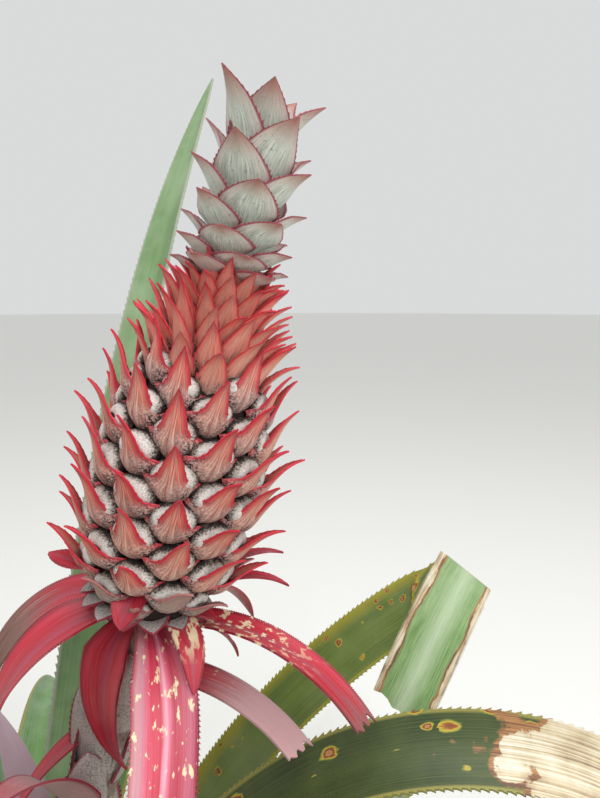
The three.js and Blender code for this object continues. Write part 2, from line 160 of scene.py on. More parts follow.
# A fruitlet's bract, by share of its length: how far it leans from the fruit's axis, how wide it is and how
# deep it is cupped.
BRACT_LEAN = ((0, 66), (0.2, 54), (0.42, 20), (0.7, 28), (1, 52))
BRACT_WIDTH = (
    (0, 7), (0.16, 11), (0.28, 13.2), (0.36, 13.4), (0.41, 9.8), (0.48, 7.2), (0.6, 5.5), (0.8, 3), (1, 0.1)
)
BRACT_CUP = ((0, 4), (0.2, 7.5), (0.32, 9.6), (0.38, 8.6), (0.45, 4.4), (0.54, 2.6), (0.75, 1.4), (1, 0.1))
BRACT_ROUNDNESS = ((0.36, 2.1), (0.5, 1.3))
TUFT_WIDTH = ((0, 0.8), (0.25, 1), (0.45, 0.86), (0.65, 0.56), (0.8, 0.31), (0.92, 0.12), (1, 0.01))
CROWN_WIDTH = (
    (0, 0.5), (0.28, 0.58), (0.4, 0.84), (0.5, 1), (0.61, 0.9), (0.73, 0.66), (0.86, 0.35), (0.95, 0.12),
    (1, 0.01),
)

# The rosette, counted from the outermost leaf to the innermost.
ROSETTE_LEAVES = 30
ROSETTE_LOWEST = 30
ROSETTE_HIGHEST = 184
ROSETTE_TURN = 137.5
ROSETTE_PHASE = 100
LEAF_LENGTHS = ((0, 560), (0.3, 820), (0.65, 760), (1, 330))
LEAF_HALF_WIDTH = 20
# How a leaf leaves the stem and how far it droops from there, outermost and innermost, in degrees, and how
# one leaf differs from the next.
LEAF_RISE = (72, 26)
LEAF_CLOSING = 0.9
LEAF_DROOP = (38, 52)
DROOP_VARIETY = (0.85, 1.15)
LENGTH_VARIETY = (0.94, 1.06)
LEAF_EASE = (1.1, 1.5)
LEAF_SWEEP = 9
LEAF_TWIST = 18
# The height of a blade's raised edges, as a share of its half width.
CHANNEL_SHARE = 0.4
BRACT_CHANNEL_SHARE = 0.35
FOLDED_LEAF = 23
TALL_LEAF = 26
NEAR_LEAF = 28
# The leaves that the picture shows, or that would stand in front of it, have a habit of their own.
OWN_HABIT = {
    5: {"fall": 132},
    10: {"fall": 135, "length": 640},
    18: {"sweep": -30, "rise": 34, "fall": 92, "ease": 1.3, "length": 440},
    21: {"fall": 150, "length": 440},
    FOLDED_LEAF: {
        "sweep": -36, "rise": 22, "fall": 56, "ease": 1.6, "twist": 72, "length": 445, "torn": True
    },
    TALL_LEAF: {"sweep": -14, "rise": 14, "fall": 31, "ease": 1.9, "length": 725},
    NEAR_LEAF: {"sweep": 0, "rise": 25, "fall": 180, "ease": 2.6, "twist": 62, "length": 550, "torn": True},
    29: {"rise": 11, "fall": 40},
}
# The leaves that look different from the plain ones.
LEAF_LOOKS = {
    10: "grey", 18: "pale", FOLDED_LEAF: "spotted", TALL_LEAF: "back", NEAR_LEAF: "near", 29: "grey"
}
TALL_LEAF_ENDING = 7
FOLD_LINE = Vector((0.76, -0.37, -0.54)).normalized()
# The flap hangs from the fold, along its line. The leaf turns onto that line past a share of its length.
FOLD_START = 0.82
FLAP = {"azimuth": -150, "rise": 144, "fall": 148, "length": 88}
FLAP_RINGS = 24
# How much of its own roll the flap has at its end.
FLAP_ROLL = 0.5
FLAP_HALF_WIDTH = LEAF_HALF_WIDTH * 0.85
FLAP_CHANNEL = LEAF_HALF_WIDTH * 0.12
FLAP_RAGGED = 0.05

# The bracts on the stalk. A row tells how far down from the fruit a bract leaves the stalk, its bearing, how
# far that swings, its roll, its length and half width, how it leans at first and at last, and how late it
# turns.
BRACT_ROW = ("down", "azimuth", "sweep", "twist", "length", "half", "rise", "fall", "ease")
COLLAR = {
    "front": (8, -61, -61, 0, 210, 15.2, 86, 160, 0.5),
    "right": (12, -12, -20, 0, 130, 10, 72, 138, 1),
    "right_back": (19, 28, 0, 0, 62, 8, 80, 165, 1),
    "back_right": (8, 62, 0, 0, 120, 10, 86, 150, 0.9),
    "back": (14, 98, 0, 0, 150, 12, 82, 155, 0.8),
    "back_left": (22, 137, 0, 0, 165, 13, 80, 140, 0.9),
    "left_back": (6, 159, 39, -61, 120, 12, 66, 164, 0.7),
    "left": (7, -147, -30, -17, 141, 16, 64, 204, 0.7),
    "front_left": (13, -124, -30, -25, 86, 16, 90, 205, 0.36),
}
SHEATHS = {
    "right": (41, -4, -33, 0, 99, 11, 82, 122, 0.7),
    "left": (80, -165, 0, 0, 76, 9, 112, 160, 0.8),
    "back": (92, 80, 0, 0, 150, 13, 34, 150, 1),
    "front": (128, -95, 0, 0, 120, 14, 26, 75, 1.5),
    "front_left": (161, -167, 0, 0, 190, 15, 40, 150, 0.9),
    "front_right": (165, -40, 0, 0, 190, 15, 40, 140, 0.9),
    "back_left": (190, 146, 0, 0, 110, 12, 20, 34, 1),
}
TORN_SIDE = "right"
# Short bracts pressed in between the long ones, under the fruit and on its lowest rim.
SMALL_BRACTS = (
    (-16, -97, -20, 0, 19, 9, 104, 155, 0.8),
    (2, -22, 0, 0, 34, 10, 72, 104, 1),
    (1, -44, 0, 0, 26, 10, 78, 112, 1),
    (-12, -4, 0, 0, 50, 5, 62, 122, 1.6),
    (-16, 14, 0, 0, 46, 5, 60, 108, 1.6),
    (-20, -150, -40, -20, 27, 9, 84, 62, 1),
    (-4, 96, 0, 0, 40, 8, 80, 130, 1),
    (-6, 140, 0, 0, 44, 8, 80, 120, 1),
    (-6, 52, 0, 0, 42, 8, 80, 126, 1),
)
# One more, with cream patches.
FLECKED_BRACT = (-2, -44, -44, 0, 44, 7.5, 84, 138, 0.6)
# Scales that wrap the stalk between the collar and the lower sheaths: how far down, bearing and length.
WRAPS = (
    (66, -88, 34), (70, -50, 50), (74, 100, 52), (98, -95, 60), (104, 25, 60), (112, 150, 60),
    (138, -60, 62), (150, 60, 62), (160, -170, 60), (188, -110, 64), (196, 10, 64), (204, 120, 64),
    (236, -70, 62), (244, 170, 62), (250, 60, 62),
)
# Their half width by how far down they are, the share of it at their foot, how they lean off the stalk's skin
# at first and at last, how far they stand off it, how far round it their margins reach, in radians, and how
# much those open towards the point.
WRAP_HALF = ((60, 14), (110, 17), (160, 20))
WRAP_FOOT = 0.8
WRAP_RISE = 3
WRAP_FALL = 6
WRAP_CLEARANCE = 0.4
WRAP_CLASP = 1.3
WRAP_OPENING = 0.4
# Worn grey bracts that stand out all round under the fruit: their bearings, and one row for them all that
# lacks the bearing.
RIM_BEARINGS = range(-168, 192, 24)
RIM_BRACT = (-2, 0, 0, 12, 8.5, 80, 112, 1)

# The camera, fitted to the fruit's spirals: its place and its nearest reach in metres, its turn up from
# straight down, in degrees, and its lens in millimetres.
CAMERA_PLACE = (0.1969, -0.3005, 0.6581)
CAMERA_PITCH = 80.6
CAMERA_LENS = 27.02
CAMERA_NEAR = 0.01
# The lamps, in metres and watts: their place, what they aim at, their size and their power.
SKY_LIGHT = ((0.1, -0.4, 2.3), (0.1, 0, 0.5), 1.6, 28)
RIGHT_LIGHT = ((1.7, -1.3, 1.5), (0.15, 0, 0.55), 1.0, 18)
SKY_COLOUR = "e6e8e8"
SKY_STRENGTH = 0.88
FLOOR_RADIUS = 30

# How deep a torn end is frayed, as a share of the blade. Its edge has a mean depth and waves across it, each
# with its pace, its phase and its depth.
TORN_DEPTH = 0.07
TEAR_MEAN = 0.6
TEAR_WAVES = ((9, 1, 0.25), (23, 0, 0.3))
TEAR_ONSET = 8
# How far a tooth leans forward, in rings of the blade's mesh.
TOOTH_LEAN = 0.8
# The ends of a whole blade: how bluntly they close and their least half width.
BLUNTNESS = 0.85
POINT_HALF_WIDTH = 0.15
# How wide a blade is at its foot and where a torn one ends, as a share of its full width, and how long it
# keeps that.
LEAF_FOOT = 0.72
COLLAR_FOOT = 0.5
TORN_END_SHARE = 0.75
LEAF_ENDING = 2.6
# The stem's leaf scars, in radians to the millimetre, and the stalk's ribs, each with its depth.
SCAR_TURN = 0.62
SCAR_DEPTH = 0.03
STALK_RIBS = 9
RIB_DEPTH = 0.03

# The places on a mix node: its factor, its two colours and their result, then the same for vectors.
FACTOR, BELOW, ABOVE, MIXED = 0, 6, 7, 2
VECTOR_BELOW, VECTOR_ABOVE, VECTOR_MIXED = 4, 5, 1
PAINT = {"data_type": "RGBA"}
# The kinds of node that the materials use most.
MIX = "ShaderNodeMix"
RANGE = "ShaderNodeMapRange"
MATH = "ShaderNodeMath"
NOISE = "ShaderNodeTexNoise"
RAMP = "ShaderNodeValToRGB"
PLACES = "ShaderNodeTexCoord"
# The name of each material's own shader.
SHADER = "Principled BSDF"
# The largest number that the stream of draws holds.
WORD = 0xFFFFFFFF


def mix(low, high, share):
    """A value between two others."""
    return low + (high - low) * share


def along(rows, place):
    """Reads a value, or one for each place, from rows of (place, value)."""
    return np.interp(place, [row[0] for row in rows], [row[1] for row in rows])


def seeded(state):
    """Yields the same stream of numbers from 0 to 1 each time, as the solids drew theirs."""
    while True:
        state = (state + 0x6D2B79F5) & WORD
        mixed = ((state ^ (state >> 15)) * (1 | state)) & WORD
        mixed = ((mixed + (((mixed ^ (mixed >> 7)) * (61 | mixed)) & WORD)) & WORD) ^ mixed
        yield (mixed ^ (mixed >> 14)) / (WORD + 1)


def linear(code):
    """Turns an sRGB hex colour into Blender's linear colour."""
    channels = (int(code[i : i + 2], 16) / 255 for i in (0, 2, 4))
    return (*(c / 12.92 if c <= 0.04045 else ((c + 0.055) / 1.055) ** 2.4 for c in channels), 1.0)


# The axis is a cubic that reaches the fruit's base at the fruit's lean.
HEAD_SLOPE = math.tan(math.radians(FRUIT_LEAN))
AXIS_B = (HEAD_SLOPE * FRUIT_BASE - 2 * FRUIT_SHIFT) / FRUIT_BASE**3
AXIS_A = (FRUIT_SHIFT - AXIS_B * FRUIT_BASE**3) / FRUIT_BASE**2


def beside_axis(height, azimuth, distance):
    """The point at a height, a bearing and a distance from the axis."""
    lean = math.atan(2 * AXIS_A * height + 3 * AXIS_B * height**2)
    out = math.cos(math.radians(azimuth)) * distance
    x = AXIS_A * height**2 + AXIS_B * height**3 + math.cos(lean) * out
    return Vector((x, math.sin(math.radians(azimuth)) * distance, height - math.sin(lean) * out))


HEAD = Matrix.Translation(beside_axis(FRUIT_BASE, 0, 0)) @ Matrix.Rotation(math.radians(FRUIT_LEAN), 4, "Y")
CROWN_TILT = math.radians(CROWN_LEAN - FRUIT_LEAN)
CROWN_SEAT = Matrix.Translation((0, 0, FRUIT_LENGTH + SEAM + CROWN_FOOT_RADIUS * math.sin(abs(CROWN_TILT))))
CROWN = HEAD @ CROWN_SEAT @ Matrix.Rotation(CROWN_TILT, 4, "Y")


def around(reach, azimuth, height):
    """The point at a reach, a bearing and a height, along the fruit's or the crown's own axis."""
    turn = math.radians(azimuth)
    return reach * math.cos(turn), reach * math.sin(turn), height


def stem_radius(height):
    return float(along(STEM_PROFILE, height / STEM_TOP))


def stalk_radius(height):
    return float(along(STALK_PROFILE, (height - STEM_TOP) / (FRUIT_BASE - STEM_TOP)))


def core_radius(height):
    swell = CORE_RADIUS * (1 - CORE_SWELL * ((height - WAIST_AT) / WAIST_AT) ** 2)
    closing = min(max((height - SHOULDER_AT) / (FRUIT_LENGTH - SHOULDER_AT), 0), 1)
    return max(min(swell, mix(CORE_RADIUS, TOP_RADIUS, closing)), TOP_RADIUS)


def skin_slope(height):
    """How the core's skin leans out from the fruit's axis, in radians."""
    wider = core_radius(height + SLOPE_REACH) - core_radius(height - SLOPE_REACH)
    return math.atan2(wider, 2 * SLOPE_REACH)


def midline(start, azimuth, length, rise=0, fall=0, sweep=0, ease=1, twist=0, lean=None, rings=60):
    """The points, sides and upper directions along a blade that turns from rise to fall degrees off
    upright, or leans by its place where lean is told."""
    share = np.linspace(0, 1, rings + 1)

    def directions(at):
        turn = np.radians(lean(at) if lean else rise + (fall - rise) * at**ease)
        bearing = np.radians(azimuth + sweep * at)
        forward = np.stack([np.sin(turn) * np.cos(bearing), np.sin(turn) * np.sin(bearing), np.cos(turn)], 1)
        side = np.stack([-np.sin(bearing), np.cos(bearing), 0 * bearing], 1)
        roll = np.radians(twist * at)[:, None]
        side = side * np.cos(roll) + np.cross(forward, side) * np.sin(roll)
        return forward, side

    steps = directions(share[:-1] + 0.5 / rings)[0] * (length / rings)
    point = np.array(start) + np.vstack([np.zeros(3), np.cumsum(steps, 0)])
    forward, side = directions(share)
    return {"point": point, "side": side, "up": np.cross(forward, side)}


def opening(foot, share):
    """How much of its full width a blade has: its foot's part at first, soon all of it."""
    return along(((0, foot), (0.2, 1), (1, 1)), share)


def strap(half, foot=LEAF_FOOT, ending=LEAF_ENDING):
    """Half widths of a blade that keeps its width for most of its length and comes to a point. A higher
    ending keeps it wide for longer."""
    closing = lambda share: (1 - share**ending) ** BLUNTNESS
    return lambda share: np.maximum(half * opening(foot, share) * closing(share), POINT_HALF_WIDTH)


def torn_strap(half, foot=1.0):
    """Half widths of a blade that is torn off before its point."""
    return lambda share: half * mix(1, TORN_END_SHARE, share) * opening(foot, share)


def only(piece):
    """Selects one piece and nothing else."""
    bpy.ops.object.select_all(action="DESELECT")
    piece.select_set(True)
    bpy.context.view_layer.objects.active = piece


def copy_of(master, name):
    """A piece of its own with a master's mesh."""
    made = bpy.data.objects.new(name, master.data.copy())
    bpy.context.scene.collection.objects.link(made)
    return made


def finish_with(piece, kind, **settings):
    """Gives a piece one modifier and applies it."""
    only(piece)
    modifier = piece.modifiers.new(kind.title(), kind)
    for key, value in settings.items():
        setattr(modifier, key, value)
    bpy.ops.object.modifier_apply(modifier=modifier.name)


def thicken(piece, size):
    """Gives a thin sheet one of the add-on's thicknesses, half of it on each side."""
    thickness = getattr(bpy.context.scene.pineapple_sizes, size)
    finish_with(piece, "SOLIDIFY", thickness=thickness, offset=0.0)


def filled_circle(name, sides, radius=1):
    """A filled circle on its own, from which a round piece can be drawn up."""
    bpy.ops.object.select_all(action="DESELECT")
    bpy.ops.mesh.primitive_circle_add(vertices=sides, radius=radius, fill_type="NGON")
    piece = bpy.context.object
    piece.name = piece.data.name = name
    return piece


def start_edit():
    """Enters edit mode with everything selected."""
    bpy.ops.object.mode_set(mode="EDIT")
    bpy.ops.mesh.select_all(action="SELECT")


def draw_up(rise):
    """Extrudes the selected face straight up."""
    bpy.ops.mesh.extrude_region_move(TRANSFORM_OT_translate={"value": (0, 0, rise)})


def end_edit():
    """Turns all faces outwards and leaves edit mode."""
    bpy.ops.mesh.select_all(action="SELECT")
    bpy.ops.mesh.normals_make_consistent(inside=False)
    bpy.ops.object.mode_set(mode="OBJECT")


def blade_master(rings, columns, tooth=0.0, teeth_from=0.1):
    """A flat blade, -1 to 1 across and 0 to 1 along, with forward-leaning teeth on its margins."""
    bpy.ops.object.select_all(action="DESELECT")
    bpy.ops.mesh.primitive_grid_add(x_subdivisions=columns, y_subdivisions=rings, size=2)
    master = bpy.context.object
    if tooth:
        bpy.ops.object.mode_set(mode="EDIT")
        bpy.ops.mesh.select_mode(type="EDGE")
        for side in (-1, 1):
            bpy.ops.mesh.select_all(action="DESELECT")
            shape = bmesh.from_edit_mesh(master.data)
            for edge in shape.edges:
                middle = (edge.verts[0].co + edge.verts[1].co) / 2
                ring = round((middle.y + 1) / 2 * rings - 0.5)
                on_margin = abs(middle.x - side) < 1e-4
                edge.select_set(on_margin and ring % 2 == 0 and ring > teeth_from * rings)
            shape.select_flush_mode()
            bmesh.update_edit_mesh(master.data)
            lean = (side * tooth, 2 * TOOTH_LEAN / rings, 0)
            bpy.ops.mesh.extrude_edges_move(TRANSFORM_OT_translate={"value": lean})
            bpy.ops.mesh.merge(type="COLLAPSE")
        bpy.ops.object.mode_set(mode="OBJECT")
    master.data.transform(Matrix.Diagonal((1, 0.5, 1, 1)) @ Matrix.Translation((0, 1, 0)))
    return master


def lay(blade, line, half, section, placed=None, ragged=0.0):
    """Bends a flat blade along a midline, gives it its width and its section, and puts it in metres. A
    ragged end is torn back unevenly."""
    mesh = blade.data
    flat = np.empty(len(mesh.vertices) * 3)
    mesh.vertices.foreach_get("co", flat)
    across, share = flat[0::3], np.clip(flat[1::3], 0, 1)
    if ragged:
        tear = TEAR_MEAN + sum(depth * np.sin(across * pace + phase) for pace, phase, depth in TEAR_WAVES)
        share = share * (1 - ragged * tear * share**TEAR_ONSET)
    spots = np.linspace(0, 1, len(line["point"]))
    point, side, up = (
        np.stack([np.interp(share, spots, line[key][:, i]) for i in range(3)], 1)
        for key in ("point", "side", "up")
    )
    place = point + side * (across * half(share))[:, None] + up * section(across, share)[:, None]
    mesh.vertices.foreach_set("co", place.astype(np.float32).ravel())
    mesh.transform(Matrix.Scale(MM, 4) @ (placed or Matrix.Identity(4)))
    return blade


def note(piece, name, value):
    """Writes one number, or one for each vertex, as an attribute that a material reads."""
    attribute = piece.data.attributes.new(name, "FLOAT", "POINT")
    values = np.full(len(piece.data.vertices), value, np.float32) if np.isscalar(value) else value
    attribute.data.foreach_set("value", values.astype(np.float32))


def joined(pieces, name):
    """Joins pieces into one and names it."""
    bpy.ops.object.select_all(action="DESELECT")
    for piece in pieces:
        piece.select_set(True)
    bpy.context.view_layer.objects.active = pieces[0]
    bpy.ops.object.join()
    whole = bpy.context.object
    whole.name = whole.data.name = name
    return whole


def hand_over(piece, material, slot, *nodes, angle=50):
    """Gives a finished piece smooth shading and its material, hangs it on the body and hides the solids it
    stands for.
    """
    only(piece)
    bpy.ops.object.shade_smooth_by_angle(angle=math.radians(angle))
    piece.data.materials.clear()
    piece.data.materials.append(material)
    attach(piece, BODY)
    if nodes:
        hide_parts(*nodes)


def result(source):
    """The socket that a link starts from: one as told, or a node's own result."""
    if isinstance(source, bpy.types.Node):
        return source.outputs[MIXED if source.bl_idname == MIX else 0]
    return source


def add(tree, kind, settings=None, links=None):
    """Adds a node with its settings and its links. The stops of a ramp are places with their colours."""
    made = tree.nodes.new(kind)
    for key, value in (settings or {}).items():
        if key == "stops":
            ramp = made.color_ramp
            while len(ramp.elements) < len(value):
                ramp.elements.new(1.0)
            for element, (place, colour) in zip(ramp.elements, value):
                element.position = place
                element.color = linear(colour) if isinstance(colour, str) else colour
        elif isinstance(key, str) and hasattr(made, key):
            setattr(made, key, value)
        else:
            made.inputs[key].default_value = value
    for key, source in (links or {}).items():
        tree.links.new(result(source), made.inputs[key])
    return made


def surface(name, **values):
    """A new material and its node tree, with plain values set on its shader."""
    material = bpy.data.materials.new(name)
    material.use_nodes = True
    for key, value in values.items():
        material.node_tree.nodes[SHADER].inputs[key.replace("_", " ")].default_value = value
    return material, material.node_tree


def blade_places(tree):
    """The nodes that tell a place on a blade: its UV, how far across from -1 to 1, how far from the midrib
    and how far along."""
    uv = add(tree, "ShaderNodeUVMap", {"uv_map": "UVMap"})
    parts = add(tree, "ShaderNodeSeparateXYZ", links={0: uv})
    across = add(tree, MATH, {"operation": "MULTIPLY_ADD", 1: 2, 2: -1}, {0: parts.outputs["X"]})
    edge = add(tree, MATH, {"operation": "ABSOLUTE"}, {0: across})
    return uv, across, edge, parts.outputs["Y"]


def streaks(tree, uv, across, lengthwise, detail=4.0, roughness=0.6, distortion=0.0):
    """Noise drawn out along a blade, in grains that fit across it and along it. Across a leaf 40 mm wide, 55
    lie 0.7 mm apart, as its fine lines do."""
    drawn = add(tree, "ShaderNodeMapping", {"Scale": (across, lengthwise, 1)}, {0: uv})
    settings = {"Scale": 1.0, "Detail": detail, "Roughness": roughness, "Distortion": distortion}
    return add(tree, NOISE, settings, {0: drawn})


def finished(material, colour, grain, depth, strength):
    """Gives a material its colour and the relief of its grain, and returns it."""
    tree = material.node_tree
    bump = add(tree, "ShaderNodeBump", {"Strength": strength, "Distance": depth}, {"Height": grain})
    tree.links.new(result(colour), tree.nodes[SHADER].inputs["Base Color"])
    tree.links.new(result(bump), tree.nodes[SHADER].inputs["Normal"])
    return material


def grains(tree, scale, detail, roughness=0.5):
    """Noise of a real grain size, in grains to the metre: 14 are blotches 70 mm wide. The scale hairs are too
    fine to show, so their stipple is drawn 0.7 to 1.1 mm wide."""
    settings = {"Scale": scale, "Detail": detail, "Roughness": roughness}
    return add(tree, NOISE, settings, {0: add(tree, PLACES).outputs["Object"]})


def layer(tree, below, code, source, start, full, most=1.0, within=None):
    """Lays a colour over the one below it, from none where a value is at start to most of it at full, and
    only within another mask where one is told."""
    mask = add(tree, RANGE, {"From Min": start, "From Max": full, "To Max": most}, {0: source})
    if within is not None:
        mask = add(tree, MATH, {"operation": "MULTIPLY"}, {0: mask, 1: within})
    return add(tree, MIX, {**PAINT, ABOVE: linear(code)}, {FACTOR: mask, BELOW: below})


def wavering(tree, value, noise, width):
    """A value that a noise moves to and fro, by up to half a width each way."""
    swing = add(tree, MATH, {"operation": "MULTIPLY_ADD", 1: width, 2: -width / 2}, {0: noise})
    return add(tree, MATH, {"operation": "ADD"}, {0: value, 1: swing})


# A share of a blade that lies past its tip.
PAST_TIP = 2.0
# Dried leaf, from its darkest lines to its palest.
HUSK = ((0.3, "7d6a5c"), (0.42, "ad9577"), (0.52, "cbbb98"), (0.62, "ddd3bc"), (0.76, "ece7da"))
# What a leaf's material takes unless it is told otherwise: its colours, how much of one side is yellowed
# and spotted, where it dies, how much of its margins has dried, and the cells that may carry a spot, counted
# across the blade and along it.
GREEN_LEAF = {
    "deep": "3a5a2a",
    "light": "6f9553",
    "bloom": "9db09c",
    "margin": "8f8a45",
    "yellow": 0.0,
    "spots": 0.0,
    "dead": PAST_TIP,
    "dry_margin": 0.0,
    "spot_cells": (4, 36, 1),
}
# The leaves' finishes, each with its name and what differs from that.
LEAF_FINISHES = {
    "plain": ("Waxy green leaf", {}),
    "grey": ("Waxy leaf with grey bloom", {"deep": "55704f", "light": "8fa883", "bloom": "b4c2b2"}),
    "back": (
        "Waxy leaf, ribbed back",
        {"deep": "4d6c40", "light": "789a62", "bloom": "9fb290", "margin": "9ba08e"},
    ),
    "spotted": (
        "Waxy leaf with rust spots",
        {"deep": "4a602a", "light": "748a40", "bloom": "8f9c66", "margin": "9c9a36", "spots": 1.1,
         "spot_cells": (4.6, 58, 1), "yellow": 0.9},
    ),
    "near": (
        "Waxy leaf with a dead end",
        {"deep": "24331a", "light": "445424", "bloom": "606836", "spots": 0.6, "dead": 0.73},
    ),
    "pale": (
        "Waxy leaf with a dried tip",
        {"deep": "6c9059", "light": "a3c191", "bloom": "c8d6c0", "spots": 0.25, "dead": 0.86},
    ),
    # The flap's stripe is the colour of its painted highlight.
    "flap": (
        "Waxy leaf with dried margins",
        {"deep": "5a8042", "light": "98b67c", "bloom": "b8caa2", "stripe": "d2e0c4", "dry_margin": 0.13},
    ),
}


def leaf_material(name, **changes):
    """Waxy pineapple leaf, grown with a bloom of grey scale hairs: satin green with fine lengthwise streaks,
    a painted highlight along the channel, and where told with ringed rust spots, dried margins and a dead
    end."""
    look = {**GREEN_LEAF, **changes}
    look.setdefault("stripe", look["light"])
    material, tree = surface(name, Roughness=0.42, IOR=1.45, Coat_Weight=0.12, Coat_Roughness=0.35)
    uv, across, edge, share = blade_places(tree)
    fine = streaks(tree, uv, 55, 5)
    broad = grains(tree, 14.0, 5.0, 0.62)
    base = add(tree, RAMP, {"stops": ((0.3, look["deep"]), (0.72, look["light"]))}, {0: fine})
    # A painted highlight along the channel, in the stripe's colour.
    colour = layer(tree, base, look["stripe"], edge, start=0.5, full=0.0, most=0.55)
    colour = layer(tree, colour, look["bloom"], broad, start=0.42, full=0.75, most=0.75)
    if look["yellow"]:
        place = wavering(tree, across, broad, 0.8)
        colour = layer(tree, colour, "a79c2e", place, start=0.55, full=1.0, most=look["yellow"])
    colour = layer(tree, colour, look["margin"], edge, start=0.9, full=0.97)
    if look["spots"]:
        colour = rust_spots(tree, uv, across, colour, look)
    rough = add(tree, RANGE, {"To Min": 0.36, "To Max": 0.56}, {0: broad})
    tree.links.new(result(rough), tree.nodes[SHADER].inputs["Roughness"])
    colour = dried(tree, uv, edge, share, colour, look)
    return finished(material, colour, fine, 0.0006, 0.5)


def dried(tree, uv, edge, share, colour, look):
    """Lays dead husk over a leaf past a share of it and inwards from its margins, with a brown border."""
    ragged = grains(tree, 55.0, 4.0, 0.5)
    place = wavering(tree, share, ragged, 0.26)
    gone = add(tree, RANGE, {"From Min": look["dead"] - 0.024, "From Max": look["dead"] + 0.024}, {0: place})
    if look["dry_margin"]:
        near_rim = wavering(tree, edge, ragged, 0.42)
        inner = 1.0 - look["dry_margin"]
        sides = add(tree, RANGE, {"From Min": inner - 0.1, "From Max": inner + 0.08}, {0: near_rim})
        gone = add(tree, MATH, {"operation": "MAXIMUM"}, {0: gone, 1: sides})
    lines = streaks(tree, uv, 30, 5, 6.0, 0.66, 0.5)
    tone = wavering(tree, lines, ragged, 0.6)
    husk = add(tree, RAMP, {"stops": HUSK}, {0: tone})
    stops = ((0.02, "000000"), (0.3, "ffffff"), (0.52, "ffffff"), (0.68, "000000"))
    border = add(tree, RAMP, {"stops": stops}, {0: gone})
    browned = add(tree, RAMP, {"stops": ((0.42, "6a4636"), (0.6, "b3814f"))}, {0: lines})
    colour = add(tree, MIX, PAINT, {FACTOR: border, BELOW: colour, ABOVE: browned})
    dead = add(tree, RANGE, {"From Min": 0.5, "From Max": 0.62}, {0: gone})
    return add(tree, MIX, PAINT, {FACTOR: dead, BELOW: colour, ABOVE: husk})


def rust_spots(tree, uv, across, colour, look):
    """Ringed spots, most of them near one margin: a dark ring round a tan middle, with a yellow halo. One
    cell in a few carries one, each with an outline of its own."""
    bent = streaks(tree, uv, 12, 60, 3.0, 0.6)
    links = {VECTOR_BELOW: uv, VECTOR_ABOVE: bent.outputs["Color"]}
    shifted = add(tree, MIX, {"data_type": "VECTOR", FACTOR: 0.016}, links).outputs[VECTOR_MIXED]
    drawn = add(tree, "ShaderNodeMapping", {"Scale": look["spot_cells"]}, {0: shifted})
    cells = add(tree, "ShaderNodeTexVoronoi", {"Scale": 1.0, "Randomness": 0.6}, {0: drawn})
    chance = add(tree, "ShaderNodeSeparateColor", links={0: cells.outputs["Color"]})
    settings = {"From Min": 0.1, "From Max": 0.7, "To Min": look["spots"] * 0.12, "To Max": look["spots"] * 2}
    often = add(tree, RANGE, settings, {0: across})
    chosen = add(tree, MATH, {"operation": "LESS_THAN"}, {0: chance.outputs[0], 1: often})
    size = add(tree, RANGE, {"To Min": 1.1, "To Max": 2.6}, {0: chance.outputs[1]})
    reach = add(tree, MATH, {"operation": "MULTIPLY"}, {0: cells.outputs["Distance"], 1: size})
    stops = (
        (0.0, "a57243"), (0.16, "b98450"), (0.22, "6b3d26"), (0.30, "96552a"), (0.36, "c0a63a"),
        (0.46, "8f9b3d"),
    )
    paint = add(tree, RAMP, {"stops": stops}, {0: reach})
    within = add(tree, RANGE, {"From Min": 0.5, "From Max": 0.38}, {0: reach})
    factor = add(tree, MATH, {"operation": "MULTIPLY"}, {0: within, 1: chosen})
    return add(tree, MIX, PAINT, {FACTOR: factor, BELOW: colour, ABOVE: paint})


# The stripes of a red bract from left margin to right: dark rims, red flanks, a channel paler with a painted
# highlight.
RED_BANDS = (
    (0.0, "8a0e22"), (0.1, "ba1834"), (0.3, "ac0e22"), (0.5, "a4364e"), (0.62, "b21026"),
    (0.88, "c22038"), (1.0, "8a0e22"),
)
# The front bract's own, pinker, with cream flanks and a pale painted highlight in its channel.
FRONT_BANDS = (
    (0.0, "a8485a"), (0.06, "c48e90"), (0.14, "c08290"), (0.22, "ce6478"), (0.3, "c83850"),
    (0.43, "bc3048"), (0.5, "e8a0b0"), (0.55, "dc6c84"), (0.64, "b03046"), (0.76, "ba4456"),
    (0.86, "c0687a"), (0.95, "bc5870"), (1.0, "8a1c34"),
)


